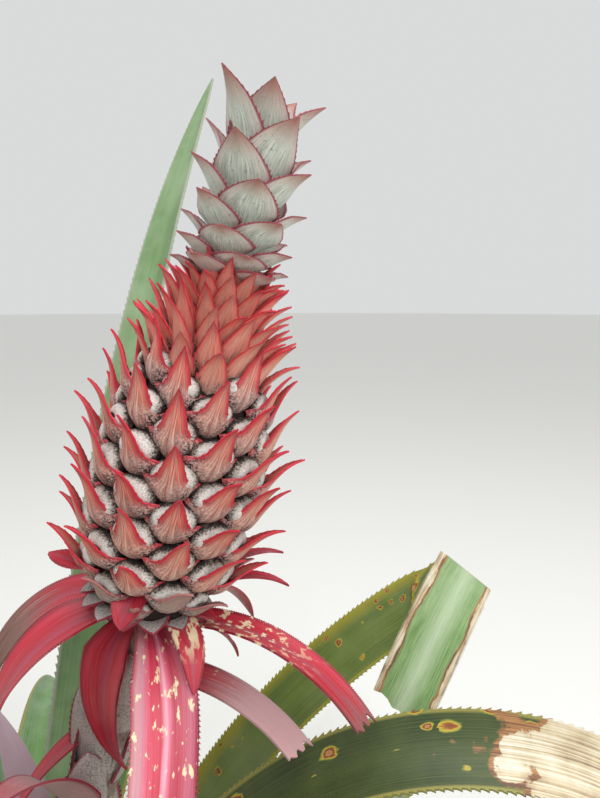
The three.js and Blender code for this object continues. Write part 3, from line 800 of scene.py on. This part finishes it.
def red_bract_material(
    name, bands=RED_BANDS, flecks=0.0, flecked_to=1.2, grain=(8, 26), dead=PAST_TIP, end="9a86a0"
):
    """Waxy red bract, grown thin and channelled: dark along its toothed margins, red flanks and a pink
    channel with a painted highlight, fine lengthwise lines, and where told cream flecks and a faded or torn
    brown end. The grain is how many flecks fit across it and along it."""
    material, tree = surface(name, Roughness=0.38, IOR=1.45, Coat_Weight=0.15, Coat_Roughness=0.3)
    uv, across, _, share = blade_places(tree)
    fine = streaks(tree, uv, 46, 3)
    broad = streaks(tree, uv, 4.5, 2.2, 3.0)
    stripe = add(tree, MATH, {"operation": "MULTIPLY_ADD", 1: 0.22, 2: 0.39}, {0: broad})
    place = add(tree, MATH, {"operation": "MULTIPLY_ADD", 1: 0.5}, {0: across, 2: stripe})
    # The bands' paler channel is a painted highlight.
    base = add(tree, RAMP, {"stops": bands}, {0: place})
    colour = layer(tree, base, "d98a98", fine, start=0.44, full=0.75, most=0.26)
    colour = layer(tree, colour, "7d1226", fine, start=0.45, full=0.25, most=0.4)
    if flecks:
        spots = streaks(tree, uv, *grain, 3.0, 0.55)
        low = add(tree, RANGE, {"From Min": flecked_to, "From Max": flecked_to - 0.3}, {0: share})
        rare = 0.71 - flecks
        colour = layer(tree, colour, "ecdcb4", spots, start=rare, full=rare + 0.05, most=0.92, within=low)
    faded = wavering(tree, share, fine, 0.5)
    gone = add(tree, RANGE, {"From Min": dead - 0.16, "From Max": dead + 0.12, "To Max": 0.86}, {0: faded})
    lined = add(tree, RANGE, {"From Min": 0.42, "From Max": 0.66, "To Max": 0.4}, {0: fine})
    ending = add(tree, MIX, {**PAINT, BELOW: linear(end), ABOVE: linear("ccb4b0")}, {FACTOR: lined})
    colour = add(tree, MIX, PAINT, {FACTOR: gone, BELOW: colour, ABOVE: ending})
    return finished(material, colour, fine, 0.0005, 0.6)


def sheath_material(name, base, tip, vein="cdc3bb"):
    """Papery scale leaf, grown under a coat of grey scale hairs: matt, stippled, with raised parallel veins
    and a thin red margin."""
    material, tree = surface(name, Roughness=0.72, IOR=1.4, Sheen_Weight=0.25, Sheen_Roughness=0.5)
    uv, _, edge, share = blade_places(tree)
    stipple = grains(tree, 1500.0, 2.0, 0.7)
    patches = grains(tree, 60.0, 3.0, 0.6)
    veins = streaks(tree, uv, 40, 2.5)
    ground = add(tree, MIX, {**PAINT, BELOW: linear(base), ABOVE: linear(tip)}, {FACTOR: share})
    colour = layer(tree, ground, vein, veins, start=0.42, full=0.68, most=0.7)
    settings = {"From Min": 0.3, "From Max": 0.65, "To Min": 0.15, "To Max": 0.75}
    where = add(tree, RANGE, settings, {0: patches})
    colour = layer(tree, colour, "4a3a38", stipple, start=0.54, full=0.4, most=1.2, within=where)
    colour = layer(tree, colour, "8c2236", edge, start=0.88, full=0.96)
    return finished(material, colour, veins, 0.0008, 0.6)


def fruit_bract_material(name, foot, middle, upper, bare_from, tanned, flushed):
    """Leathery fruit bract, grown under scale hairs that rub off towards its point: pale grey and peppered
    with soot at its foot, then salmon in cream and red streaks with a painted highlight along the keel,
    and crimson at the point and margins. A shade below 0 wears it grey."""
    colours = bpy.context.scene.pineapple_colours
    material, tree = surface(name, Roughness=0.5, IOR=1.45)
    uv, _, edge, share = blade_places(tree)
    shade = add(tree, "ShaderNodeAttribute", {"attribute_name": "shade"}).outputs["Fac"]
    fine = streaks(tree, uv, 18, 2.2, 5.0, 0.65, 0.6)
    place = wavering(tree, share, fine, 0.9)
    stops = (
        (bare_from * 0.3, foot), (bare_from, "cb9f96"), (bare_from + 0.16, middle), (0.74, upper),
        (0.9, tuple(colours.crimson)),
    )
    colour = add(tree, RAMP, {"stops": stops}, {0: place})
    colour = layer(tree, colour, "dfa088", shade, start=0.3, full=1.0, most=tanned)
    pale = streaks(tree, uv, 22, 1.4, 5.0, 0.62, 0.4)
    # A painted highlight along the keel, added to the bract's own cream streaks near its middle.
    keel_highlight = add(tree, RANGE, {"From Min": 0.75, "From Max": 0.1, "To Min": 0.0, "To Max": 0.12}, {0: edge})
    drawn = add(tree, MATH, {"operation": "ADD"}, {0: pale, 1: keel_highlight})
    below = add(tree, RANGE, {"From Min": 1.0, "From Max": 0.66}, {0: share})
    colour = layer(tree, colour, "f0cdb8", drawn, start=0.55, full=0.68, most=0.8, within=below)
    colour = layer(tree, colour, "b33a3c", pale, start=0.45, full=0.33, most=flushed)
    blade = add(tree, RANGE, {"From Min": bare_from - 0.04, "From Max": bare_from + 0.1}, {0: share})
    colour = layer(tree, colour, "d8394a", edge, start=0.45, full=0.9, most=flushed, within=blade)
    colour = layer(tree, colour, "ac9c94", shade, start=0.0, full=-1.0, most=0.85)
    stipple = grains(tree, 900.0, 3.0, 0.7)
    low = add(tree, RANGE, {"From Min": bare_from + 0.16, "From Max": 0.0}, {0: place})
    outer = add(tree, RANGE, {"From Min": 0.0, "From Max": 0.8, "To Min": 0.3, "To Max": 1.5}, {0: edge})
    sooty = add(tree, MATH, {"operation": "MULTIPLY"}, {0: low, 1: outer})
    colour = layer(tree, colour, "2a1a24", stipple, start=0.55, full=0.44, most=1.5, within=sooty)
    fresh = add(tree, RANGE, {"From Min": 0.1, "From Max": 0.46, "To Min": 0.1}, {0: place})
    kept = add(tree, RANGE, {"From Min": -1.0, "From Max": 0.0, "To Min": 0.4}, {0: shade})
    fresh = add(tree, MATH, {"operation": "MULTIPLY"}, {0: fresh, 1: kept})
    colour = layer(tree, colour, "cf2a40", edge, start=0.8, full=0.95, most=0.9, within=fresh)
    return finished(material, colour, fine, 0.0012, 0.9)


def eye_material(name):
    """Fruitlet skin under white scale hairs: off-white and speckled on the dome, with painted shade at its
    rim.
    """
    material, tree = surface(name, Roughness=0.7, IOR=1.45)
    speckle = grains(tree, 1100.0, 3.0, 0.7)
    patch = grains(tree, 230.0, 4.0, 0.65)
    rise = add(tree, "ShaderNodeAttribute", {"attribute_name": "rise"}).outputs["Fac"]
    # The rise carries the painted shade at the dome's rim and on its upper side, and the dark slit.
    place = wavering(tree, wavering(tree, rise, speckle, 0.8), patch, 0.5)
    stops = ((0.36, "120c0b"), (0.5, "3d302d"), (0.6, "93887f"), (0.74, "cdc7c0"), (0.95, "f2efea"))
    base = add(tree, RAMP, {"stops": stops}, {0: place})
    colour = layer(tree, base, "a48b7a", patch, start=0.52, full=0.7, most=0.5)
    return finished(material, colour, speckle, 0.0012, 0.9)


def crown_material(name):
    """Young crown leaf, grown under a dense coat of silver scale hairs: satin grey-white with fine grey lines
    and a breath of green, crimson on its toothed margins and rusty at its point."""
    colours = bpy.context.scene.pineapple_colours
    material, tree = surface(name, Roughness=0.5, IOR=1.45, Sheen_Weight=0.2, Sheen_Roughness=0.4)
    uv, _, edge, share = blade_places(tree)
    fine = streaks(tree, uv, 42, 4, 5.0, 0.7)
    flush = add(tree, "ShaderNodeAttribute", {"attribute_name": "flush"}).outputs["Fac"]
    stops = ((0.32, "8f9a8c"), (0.44, "bcc4b6"), (0.58, tuple(colours.silver)), (0.78, "f4f4ee"))
    base = add(tree, RAMP, {"stops": stops}, {0: fine})
    warm = add(tree, MIX, {**PAINT, ABOVE: linear("cfaaa6")}, {FACTOR: flush, BELOW: base})
    warm = layer(tree, warm, "bd9694", edge, start=0.4, full=1.0, most=0.5)
    tip_place = wavering(tree, share, fine, 0.3)
    colour = layer(tree, warm, "a8584a", tip_place, start=0.7, full=0.96, most=0.85)
    speckle = grains(tree, 900.0, 2.0)
    colour = layer(tree, colour, "6c5a5a", speckle, start=0.64, full=0.7, most=0.5)
    colour = layer(tree, colour, "8e2a3e", edge, start=0.9, full=0.96, most=0.92)
    return finished(material, colour, fine, 0.0005, 0.6)


def rough_skin_material(name, low, high, scale, stretch, depth):
    """Plant skin told in two colours, mottled over a real grain size and stretched along the axis."""
    material, tree = surface(name, Roughness=0.82, IOR=1.4)
    object_place = add(tree, PLACES).outputs["Object"]
    drawn = add(tree, "ShaderNodeMapping", {"Scale": (1, 1, stretch)}, {0: object_place})
    grain = add(tree, NOISE, {"Scale": scale, "Detail": 6.0, "Roughness": 0.68}, {0: drawn})
    colour = add(tree, RAMP, {"stops": ((0.35, low), (0.65, high))}, {0: grain})
    return finished(material, colour, grain, depth, 0.8)


def limb(name, low, high, radius_at, sides, rings):
    """A round limb on the axis: a filled circle drawn up ring by ring, then set round the axis."""
    piece = filled_circle(name, sides)
    start_edit()
    for _ in range(rings):
        draw_up(1 / rings)
    end_edit()
    for vertex in piece.data.vertices:
        height = mix(low, high, vertex.co.z)
        azimuth = math.degrees(math.atan2(vertex.co.y, vertex.co.x))
        reach = math.hypot(vertex.co.x, vertex.co.y) * radius_at(height, azimuth)
        vertex.co = beside_axis(height, azimuth, reach) * MM
    return piece


def leaf_habit(leaf, random):
    """How a leaf of the rosette grows: by the spiral's rule, or as its own row tells."""
    share = leaf / (ROSETTE_LEAVES - 1)
    rise = mix(*LEAF_RISE, share**LEAF_CLOSING)
    habit = {
        "height": mix(ROSETTE_LOWEST, ROSETTE_HIGHEST, share),
        "azimuth": ROSETTE_PHASE + ROSETTE_TURN * leaf,
        "sweep": mix(-LEAF_SWEEP, LEAF_SWEEP, next(random)),
        "rise": rise,
        "fall": rise + mix(*LEAF_DROOP, share) * mix(*DROOP_VARIETY, next(random)),
        "ease": mix(*LEAF_EASE, next(random)),
        "twist": mix(-LEAF_TWIST, LEAF_TWIST, next(random)),
        "length": float(along(LEAF_LENGTHS, share)) * mix(*LENGTH_VARIETY, next(random)),
        "torn": False,
    }
    return {**habit, **OWN_HABIT.get(leaf, {})}


def channelled(depth, power=1.7):
    """A section whose edges stand up above its middle, less so towards the end and not at all at the
    point."""
    fading = ((0, 1), (0.8, 0.4), (1, 0))
    return lambda across, share: depth * along(fading, share) * np.minimum(np.abs(across), 1.1) ** power


class PineappleSizes(bpy.types.PropertyGroup):
    leaf_thickness: bpy.props.FloatProperty(
        name="Leaf thickness", description="Thickness of a green leaf", default=0.0018, unit="LENGTH"
    )
    bract_thickness: bpy.props.FloatProperty(
        name="Bract thickness",
        description="Thickness of a bract under the fruit",
        default=0.0011,
        unit="LENGTH",
    )
    scale_thickness: bpy.props.FloatProperty(
        name="Scale thickness", description="Thickness of the fruit's bracts", default=0.0009, unit="LENGTH"
    )
    crown_thickness: bpy.props.FloatProperty(
        name="Crown leaf thickness", description="Thickness of a crown leaf", default=0.0007, unit="LENGTH"
    )
    eye_bulge: bpy.props.FloatProperty(
        name="Eye bulge", description="How far a fruitlet's dome stands out", default=0.0072, unit="LENGTH"
    )


class PineappleColours(bpy.types.PropertyGroup):
    crimson: bpy.props.FloatVectorProperty(
        name="Crimson", description="Red of the bracts", size=4, subtype="COLOR", default=linear("d22c44")
    )
    silver: bpy.props.FloatVectorProperty(
        name="Silver",
        description="Pale bloom of the crown",
        size=4,
        subtype="COLOR",
        default=linear("dfe3da"),
    )
    floor: bpy.props.FloatVectorProperty(
        name="Floor", description="Studio floor", size=4, subtype="COLOR", default=linear("efeeea")
    )


class PINEAPPLE_OT_stem(bpy.types.Operator):
    """Makes the stem with its leaf scars and the ribbed stalk"""

    bl_idname = "pineapple.stem"
    bl_label = "Stem and stalk"

    def execute(self, context):
        # Old bark between leaf scars: brown and dull, in rings where leaves have fallen.
        bark = rough_skin_material("Pineapple stem bark", "3d3024", "8c7b5e", 160.0, 2.4, 0.0015)
        # Young stalk skin under grey scale hairs: dull grey-brown with a fine lengthwise grain.
        skin = rough_skin_material("Pineapple stalk skin", "6a5850", "a89a90", 600.0, 0.25, 0.0006)

        def scarred(height, azimuth):
            ring = math.sin(height * SCAR_TURN + math.radians(azimuth))
            return stem_radius(height) * (1 - SCAR_DEPTH * max(ring, 0) ** 3)

        def ribbed(height, azimuth):
            return stalk_radius(height) * (1 - RIB_DEPTH * math.sin(math.radians(azimuth * STALK_RIBS)) ** 2)

        stem = limb("stem_trunk", 0, STEM_TOP, scarred, sides=40, rings=64)
        hand_over(stem, bark, "stem_bark", "stem")
        stalk = limb("fruit_stalk", STEM_TOP + SEAM, FRUIT_BASE - SEAM, ribbed, sides=36, rings=40)
        hand_over(stalk, skin, "stalk_skin", "stalk")
        return {"FINISHED"}


class PINEAPPLE_OT_leaves(bpy.types.Operator):
    """Makes the rosette's toothed leaves, one of them folded over"""

    bl_idname = "pineapple.leaves"
    bl_label = "Leaves"

    def execute(self, context):
        looks = {look: leaf_material(name, **changes) for look, (name, changes) in LEAF_FINISHES.items()}
        master = blade_master(260, 8, tooth=0.06)
        random = seeded(5)
        for leaf in range(ROSETTE_LEAVES):
            habit = leaf_habit(leaf, random)
            start = beside_axis(habit["height"], habit["azimuth"], stem_radius(habit["height"]) - ROOT_DEPTH)
            torn = habit.pop("torn")
            habit.pop("height")
            line = midline(start, rings=150, **habit)
            if leaf == FOLDED_LEAF:
                self.fold(master, line, looks["flap"])
            blade = copy_of(master, f"leaf_blade_{leaf + 1:02d}")
            ending = TALL_LEAF_ENDING if leaf == TALL_LEAF else LEAF_ENDING
            half = torn_strap(LEAF_HALF_WIDTH) if torn else strap(LEAF_HALF_WIDTH, ending=ending)
            lay(blade, line, half, channelled(LEAF_HALF_WIDTH * CHANNEL_SHARE))
            thicken(blade, "leaf_thickness")
            nodes = [f"leaf_{leaf + 1:02d}", f"leaf_{leaf + 1:02d}_end"][: 2 if leaf == NEAR_LEAF else 1]
            hand_over(blade, looks[LEAF_LOOKS.get(leaf, "plain")], "green_leaf", *nodes)
        bpy.data.objects.remove(master)
        return {"FINISHED"}

    def fold(self, master, leaf_line, material):
        """Turns the end of the leaf's line onto the fold and hangs the flap from there."""
        share = np.linspace(0, 1, len(leaf_line["point"]))
        turned = np.clip((share - FOLD_START) / (1 - FOLD_START), 0, 1)[:, None] ** 2
        side = leaf_line["side"] * (1 - turned) + np.array(FOLD_LINE) * turned
        leaf_line["side"] = side / np.linalg.norm(side, axis=1)[:, None]
        line = midline(leaf_line["point"][-1], rings=FLAP_RINGS, **FLAP)
        turned = FLAP_ROLL * np.linspace(0, 1, FLAP_RINGS + 1)[:, None]
        side = line["side"] * turned + np.array(FOLD_LINE) * (1 - turned)
        line["side"] = side / np.linalg.norm(side, axis=1)[:, None]
        flap = copy_of(master, "leaf_blade_24_flap")
        lay(flap, line, lambda at: 0 * at + FLAP_HALF_WIDTH, channelled(FLAP_CHANNEL), ragged=FLAP_RAGGED)
        thicken(flap, "leaf_thickness")
        hand_over(flap, material, "green_leaf", "leaf_24_flap")


class PINEAPPLE_OT_bracts(bpy.types.Operator):
    """Makes the collar of hanging red bracts, the small ones between them and the stalk's grey sheaths"""

    bl_idname = "pineapple.bracts"
    bl_label = "Bracts and sheaths"

    def execute(self, context):
        red = red_bract_material("Waxy red bract")
        flecked = red_bract_material("Waxy red bract with cream flecks", FRONT_BANDS, flecks=0.12)
        torn_end = red_bract_material(
            "Waxy red bract with a torn end",
            flecks=0.17,
            flecked_to=0.74,
            grain=(5, 20),
            dead=0.94,
            end="5c3c3a",
        )
        faded = red_bract_material(
            "Waxy red bract, faded", flecks=0.08, flecked_to=0.6, dead=0.46, end="c6a0a2"
        )
        backed = red_bract_material("Waxy red bract, dull back", dead=0.5, end="5c4838")
        lilac = red_bract_material("Waxy red bract, lilac end", dead=0.3, end="b5a6b2")
        ruddy = sheath_material("Papery stalk scale, red end", "a3958e", "b8203a", vein="c4707a")
        scurf = sheath_material("Papery stalk scale", "b6aea8", "c0b6b2")
        looks = {"front": flecked, "right": torn_end, "left_back": backed}
        master = blade_master(200, 10, tooth=0.055)
        for name, row in COLLAR.items():
            blade = self.laid(master, f"collar_bract_{name}", row, name == TORN_SIDE)
            hand_over(blade, looks.get(name, red), "red_bract", f"bract_{name}")
        looks = {"right": faded, "left": red, "front": ruddy, "back_left": lilac}
        for name, row in SHEATHS.items():
            blade = self.laid(master, f"stalk_sheath_{name}", row, name == TORN_SIDE)
            hand_over(blade, looks.get(name, scurf), "grey_sheath", f"sheath_{name}")
        bpy.data.objects.remove(master)
        short = blade_master(30, 6, tooth=0.07)
        small = joined([self.laid(short, "small", row) for row in SMALL_BRACTS], "collar_small_bracts")
        hand_over(small, red, "red_bract")
        patched = "Waxy red bract with cream patches"
        creamy = red_bract_material(patched, flecks=0.24, flecked_to=0.7, grain=(3, 4))
        hand_over(self.laid(short, "collar_flecked_bract", FLECKED_BRACT), creamy, "red_bract")
        worn = [self.laid(short, "worn", (RIM_BRACT[0], bearing, *RIM_BRACT[1:])) for bearing in RIM_BEARINGS]
        wraps = joined(worn + [self.wrap(short, *row) for row in WRAPS], "stalk_scales")
        hand_over(wraps, scurf, "grey_sheath")
        bpy.data.objects.remove(short)
        return {"FINISHED"}

    def laid(self, master, name, row, torn=False):
        """Lays a bract from inside the stalk, or the fruit's core, outwards, and thickens it."""
        turn = dict(zip(BRACT_ROW, row))
        height, half = FRUIT_BASE - turn.pop("down"), turn.pop("half")
        inside = stalk_radius(height) if height < FRUIT_BASE else core_radius(height - FRUIT_BASE)
        start = beside_axis(height, turn["azimuth"], inside - ROOT_DEPTH)
        outline = torn_strap(half, COLLAR_FOOT) if torn else strap(half, COLLAR_FOOT)
        blade = copy_of(master, name)
        ragged = TORN_DEPTH if torn else 0.0
        fold = channelled(half * BRACT_CHANNEL_SHARE)
        section = lambda across, share: fold(across, share) * opening(COLLAR_FOOT, share)
        lay(blade, midline(start, rings=96, **turn), outline, section, ragged=ragged)
        thicken(blade, "bract_thickness")
        return blade

    def wrap(self, master, down, azimuth, length):
        """Lays a scale that clasps the stalk: its margins bend round the stalk's own curve."""
        height = FRUIT_BASE - down
        radius = stalk_radius(height)
        start = beside_axis(height, azimuth, radius + WRAP_CLEARANCE)
        lean = self.lean_at(height, azimuth)
        line = midline(start, azimuth, length, rise=WRAP_RISE + lean, fall=WRAP_FALL + lean)
        blade = copy_of(master, "wrap")
        bend = lambda across: radius * (1 - np.cos(np.minimum(np.abs(across), 1) * WRAP_CLASP))
        clasp = lambda across, share: bend(across) * (1 - WRAP_OPENING * share)
        lay(blade, line, strap(float(along(WRAP_HALF, down)), WRAP_FOOT), clasp)
        thicken(blade, "bract_thickness")
        return blade

    def lean_at(self, height, azimuth):
        """How far the stalk's own skin leans outwards on a bearing."""
        slope = 2 * AXIS_A * height + 3 * AXIS_B * height**2
        return math.degrees(math.atan(slope)) * math.cos(math.radians(azimuth))


class PINEAPPLE_OT_fruit(bpy.types.Operator):
    """Makes the fruit: its core, its fruitlets with their bracts, and the tuft of bracts above them"""

    bl_idname = "pineapple.fruit"
    bl_label = "Fruit"

    def execute(self, context):
        self.core()
        random = seeded(11)
        eye_master = self.eye_master()
        bract_master = blade_master(22, 8, tooth=0.07, teeth_from=0.25)
        eyes, bracts = [], []
        for eye in range(EYE_COUNT):
            height = FIRST_EYE + EYE_STEP * eye
            azimuth = EYE_PHASE + EYE_TURN * eye
            size = float(along(EYE_SHRINK, height))
            eyes.append(self.eye(eye_master, height, azimuth, size, random))
            bracts.append(self.eye_bract(bract_master, height, azimuth, size, random))
        dome = joined(eyes, "fruit_eyes")
        finish_with(dome, "SUBSURF", levels=1, render_levels=1)
        hand_over(dome, eye_material("Scurfy fruitlet skin"), "fruit_skin", angle=80)
        scales = joined(bracts, "fruit_bracts")
        thicken(scales, "scale_thickness")
        leather = fruit_bract_material("Leathery fruit bract", "beb4b4", "d0665a", "ea5e52", 0.4, 0.5, 0.75)
        hand_over(scales, leather, "fruit_skin")
        tuft_master = blade_master(14, 4, tooth=0.09, teeth_from=0.2)
        tuft = []
        for bract in range(TUFT_COUNT):
            share = bract / TUFT_COUNT
            height = mix(FIRST_EYE + EYE_STEP * EYE_COUNT - TUFT_OVERLAP, TUFT_TOP, share**TUFT_CROWDING)
            azimuth = EYE_PHASE + EYE_TURN * (EYE_COUNT + bract)
            tuft.append(self.tuft_bract(tuft_master, height, azimuth, share, random))
        tuft = joined(tuft, "fruit_tuft")
        thicken(tuft, "scale_thickness")
        # Paler than the fruit's bracts, in part as painted light: the tuft at the fruit's top catches more
        # light.
        leather = fruit_bract_material("Leathery tuft bract", "eedcd8", "ffa896", "ff7868", 0.2, 0.6, 0.2)
        hand_over(tuft, leather, "fruit_skin")
        for master in (eye_master, bract_master, tuft_master):
            bpy.data.objects.remove(master)
        return {"FINISHED"}

    def core(self):
        """A circle drawn up and resized ring by ring along the fruit's axis."""
        radius, height = stalk_radius(FRUIT_BASE), 0
        core = filled_circle("fruit_core", 40, radius)
        start_edit()
        for level in CORE_RINGS:
            draw_up(level - height)
            grow = core_radius(level) / radius
            bpy.ops.transform.resize(value=(grow, grow, 1), center_override=(0, 0, level))
            radius, height = core_radius(level), level
        end_edit()
        core.data.transform(Matrix.Scale(MM, 4) @ HEAD)
        # Sunken skin between the fruitlets: dull, and nearly black as painted shade in the deep gaps.
        skin = rough_skin_material("Sunken fruit skin", "0f0a09", "3a2a26", 500.0, 1.0, 0.001)
        hand_over(core, skin, "fruit_skin", "fruit")

    def eye_master(self):
        """A low dome, one unit wide and high, with a small slit, that stands on the fruit's skin."""
        eye = filled_circle("eye_master", 14)
        start_edit()
        for rise, grow in EYE_RINGS:
            draw_up(rise)
            bpy.ops.transform.resize(value=(grow, grow, 1))
        bpy.ops.mesh.inset(thickness=SLIT_INSET)
        bpy.ops.transform.resize(value=(1, SLIT_NARROW, 1))
        bpy.ops.transform.translate(value=(0, SLIT_UP, SLIT_LIP))
        draw_up(-SLIT_DEPTH)
        end_edit()
        spots = np.array([vertex.co for vertex in eye.data.vertices])
        away = np.hypot(spots[:, 0], spots[:, 1])
        slit = (away < SLIT_REACH) & (spots[:, 2] < 1 - SLIT_LIP / 2)
        # Painted shade: the skin darkens towards the dome's rim and on its upper side, where it meets the
        # core and the bracts.
        unshaded = 1 - RIM_PAINTED_SHADE * away**RIM_SHADE_ONSET - UPPER_PAINTED_SHADE * np.maximum(spots[:, 1], 0)
        note(eye, "rise", np.where(slit, SLIT_TONE, unshaded))
        for vertex in eye.data.vertices:
            vertex.co.z *= 1 - EYE_LOW_SIDE * max(-vertex.co.y, 0)
        return eye

    def eye(self, master, height, azimuth, size, random):
        """A dome on the core, turned square to the skin."""
        bulge = bpy.context.scene.pineapple_sizes.eye_bulge / MM
        tip = math.pi / 2 + skin_slope(height) + math.radians(mix(-EYE_TIP, EYE_TIP, next(random)))
        round_axis = Matrix.Rotation(math.radians(azimuth), 4, "Z")
        seated = round_axis @ Matrix.Translation((core_radius(height) - EYE_SUNK, 0, height))
        turned = seated @ Matrix.Rotation(tip, 4, "Y") @ Matrix.Rotation(math.pi / 2, 4, "Z")
        tall = EYE_HALF_HEIGHT * size * mix(*EYE_VARIETY, next(random))
        eye = copy_of(master, "eye")
        grown = Matrix.Diagonal((EYE_HALF_WIDTH * size, tall, (bulge + EYE_SUNK) * size, 1))
        eye.data.transform(Matrix.Scale(MM, 4) @ HEAD @ turned @ grown)
        return eye

    def eye_bract(self, master, height, azimuth, size, random):
        """A keeled bract whose broad foot clasps the lower half of its fruitlet and whose point stands up."""
        foot = height - BRACT_FOOT * size
        start = around(core_radius(foot) - ROOT_DEPTH, azimuth, foot)
        spread = mix(*BRACT_SPREAD, next(random))
        slope = math.degrees(skin_slope(height))
        lean = lambda at: along(BRACT_LEAN, at) + spread * at + slope
        length = mix(*BRACT_LENGTH, next(random))
        length *= max(mix(BRACT_SMALL, 1, (size - EYE_SMALL) / (1 - EYE_SMALL)), BRACT_LEAST)
        sweep = mix(-BRACT_SWEEP, BRACT_SWEEP, next(random))
        twist = mix(-BRACT_TWIST, BRACT_TWIST, next(random))
        line = midline(start, azimuth, length, sweep=sweep, twist=twist, lean=lean, rings=36)
        bract = copy_of(master, "bract")
        inwards = lambda across, at: np.minimum(np.abs(across), 1.04) ** along(BRACT_ROUNDNESS, at)
        section = lambda across, at: along(BRACT_CUP, at) * size * inwards(across, at)
        lay(bract, line, lambda at: along(BRACT_WIDTH, at) * size, section, HEAD)
        note(bract, "shade", next(random) if height > WORN_BELOW else -1)
        return bract

    def tuft_bract(self, master, height, azimuth, share, random):
        """A narrow pointed bract, pressed among its neighbours and curved out at its point."""
        start = around(core_radius(height) - ROOT_DEPTH, azimuth, height)
        length = mix(*TUFT_LENGTH, share) * mix(*TUFT_VARIETY, next(random))
        half = mix(*TUFT_HALF_WIDTH, share) * mix(*TUFT_VARIETY, next(random))
        fall = mix(*TUFT_FALL, next(random))
        sweep = mix(-TUFT_SWEEP, TUFT_SWEEP, next(random))
        line = midline(start, azimuth, length, TUFT_RISE, fall, sweep, TUFT_EASE, rings=20)
        bract = copy_of(master, "tuft")
        section = channelled(half * TUFT_CHANNEL_SHARE, 1.4)
        lay(bract, line, lambda at: half * along(TUFT_WIDTH, at), section, HEAD)
        note(bract, "shade", next(random))
        return bract


class PINEAPPLE_OT_crown(bpy.types.Operator):
    """Makes the young crown of silver leaves with red teeth"""

    bl_idname = "pineapple.crown"
    bl_label = "Crown"

    def execute(self, context):
        master = blade_master(44, 8, tooth=0.055, teeth_from=0.15)
        leaves = []
        for leaf in range(CROWN_LEAVES):
            share = leaf / (CROWN_LEAVES - 1)
            height = mix(CROWN_LOWEST, CROWN_AXIS_LENGTH, share**CROWN_CROWDING)
            azimuth = CROWN_PHASE + EYE_TURN * leaf
            radius = mix(CROWN_FOOT_RADIUS, CROWN_TIP_RADIUS, height / CROWN_AXIS_LENGTH)
            start = around(radius - CROWN_ROOT_DEPTH, azimuth, height)
            length = CROWN_OWN_LENGTH.get(leaf, mix(*CROWN_LENGTH, share**CROWN_GROWTH))
            rise = mix(*CROWN_RISE, share)
            half = mix(*CROWN_HALF_WIDTH, min(share * CROWN_WIDENING, 1))
            fall = rise + mix(*CROWN_CURL, share)
            line = midline(start, azimuth, length, rise=rise, fall=fall, ease=2, rings=28)
            blade = copy_of(master, "crown_leaf")
            width = lambda at, half=half: half * along(CROWN_WIDTH, at)
            lay(blade, line, width, channelled(half * CROWN_CHANNEL_SHARE), CROWN)
            note(blade, "flush", mix(CROWN_FLUSH, 0.0, min(share * CROWN_PALING, 1)))
            leaves.append(blade)
        crown = joined(leaves, "crown_leaves")
        thicken(crown, "crown_thickness")
        hand_over(crown, crown_material("Silver-bloomed crown leaf"), "crown_leaf", "crown")
        bpy.data.objects.remove(master)
        return {"FINISHED"}


class PINEAPPLE_OT_stage(bpy.types.Operator):
    """Sets the pale floor, the soft lights and the camera"""

    bl_idname = "pineapple.stage"
    bl_label = "Stage"

    def execute(self, context):
        scene = context.scene
        floor = filled_circle("studio_floor", 96, FLOOR_RADIUS)
        # Painted studio floor: plain, pale and matt.
        paint = surface("Matt floor paint", Base_Color=tuple(scene.pineapple_colours.floor), Roughness=0.9)[0]
        floor.data.materials.append(paint)
        self.lamp("sky_light", *SKY_LIGHT)
        self.lamp("right_light", *RIGHT_LIGHT)
        scene.world = scene.world or bpy.data.worlds.new("Studio")
        scene.world.use_nodes = True
        sky = scene.world.node_tree.nodes["Background"]
        sky.inputs["Color"].default_value = linear(SKY_COLOUR)
        sky.inputs["Strength"].default_value = SKY_STRENGTH
        scene.view_settings.view_transform = "Standard"
        bpy.ops.object.camera_add(location=CAMERA_PLACE, rotation=(math.radians(CAMERA_PITCH), 0, 0))
        camera = context.object
        camera.name = "photo_camera"
        camera.data.lens = CAMERA_LENS
        camera.data.clip_start = CAMERA_NEAR
        scene.camera = camera
        return {"FINISHED"}

    def lamp(self, name, place, target, size, power):
        """Adds a square lamp and turns it to its target."""
        bpy.ops.object.light_add(type="AREA", location=place)
        lamp = bpy.context.object
        lamp.name = name
        lamp.data.size = size
        lamp.data.energy = power
        lamp.rotation_euler = (Vector(target) - Vector(place)).to_track_quat("-Z", "Y").to_euler()


class PINEAPPLE_PT_parts(bpy.types.Panel):
    """Lists the plant's sizes, colours and parts"""

    bl_idname = "PINEAPPLE_PT_parts"
    bl_label = "Pineapple plant"
    bl_space_type = "VIEW_3D"
    bl_region_type = "UI"
    bl_category = "Pineapple"

    def draw(self, context):
        for group in (context.scene.pineapple_sizes, context.scene.pineapple_colours):
            for key in group.__annotations__:
                self.layout.prop(group, key)
        for operator in OPERATORS:
            self.layout.operator(operator.bl_idname)


OPERATORS = (
    PINEAPPLE_OT_stage,
    PINEAPPLE_OT_stem,
    PINEAPPLE_OT_leaves,
    PINEAPPLE_OT_bracts,
    PINEAPPLE_OT_fruit,
    PINEAPPLE_OT_crown,
)
CLASSES = (PineappleSizes, PineappleColours, *OPERATORS, PINEAPPLE_PT_parts)


def register():
    for each in CLASSES:
        bpy.utils.register_class(each)
    bpy.types.Scene.pineapple_sizes = bpy.props.PointerProperty(type=PineappleSizes)
    bpy.types.Scene.pineapple_colours = bpy.props.PointerProperty(type=PineappleColours)


def unregister():
    del bpy.types.Scene.pineapple_colours
    del bpy.types.Scene.pineapple_sizes
    for each in reversed(CLASSES):
        bpy.utils.unregister_class(each)


def main():
    register()
    bpy.ops.pineapple.stage()
    bpy.ops.pineapple.stem()
    bpy.ops.pineapple.leaves()
    bpy.ops.pineapple.bracts()
    bpy.ops.pineapple.fruit()
    bpy.ops.pineapple.crown()


if __name__ == "__main__":
    main()
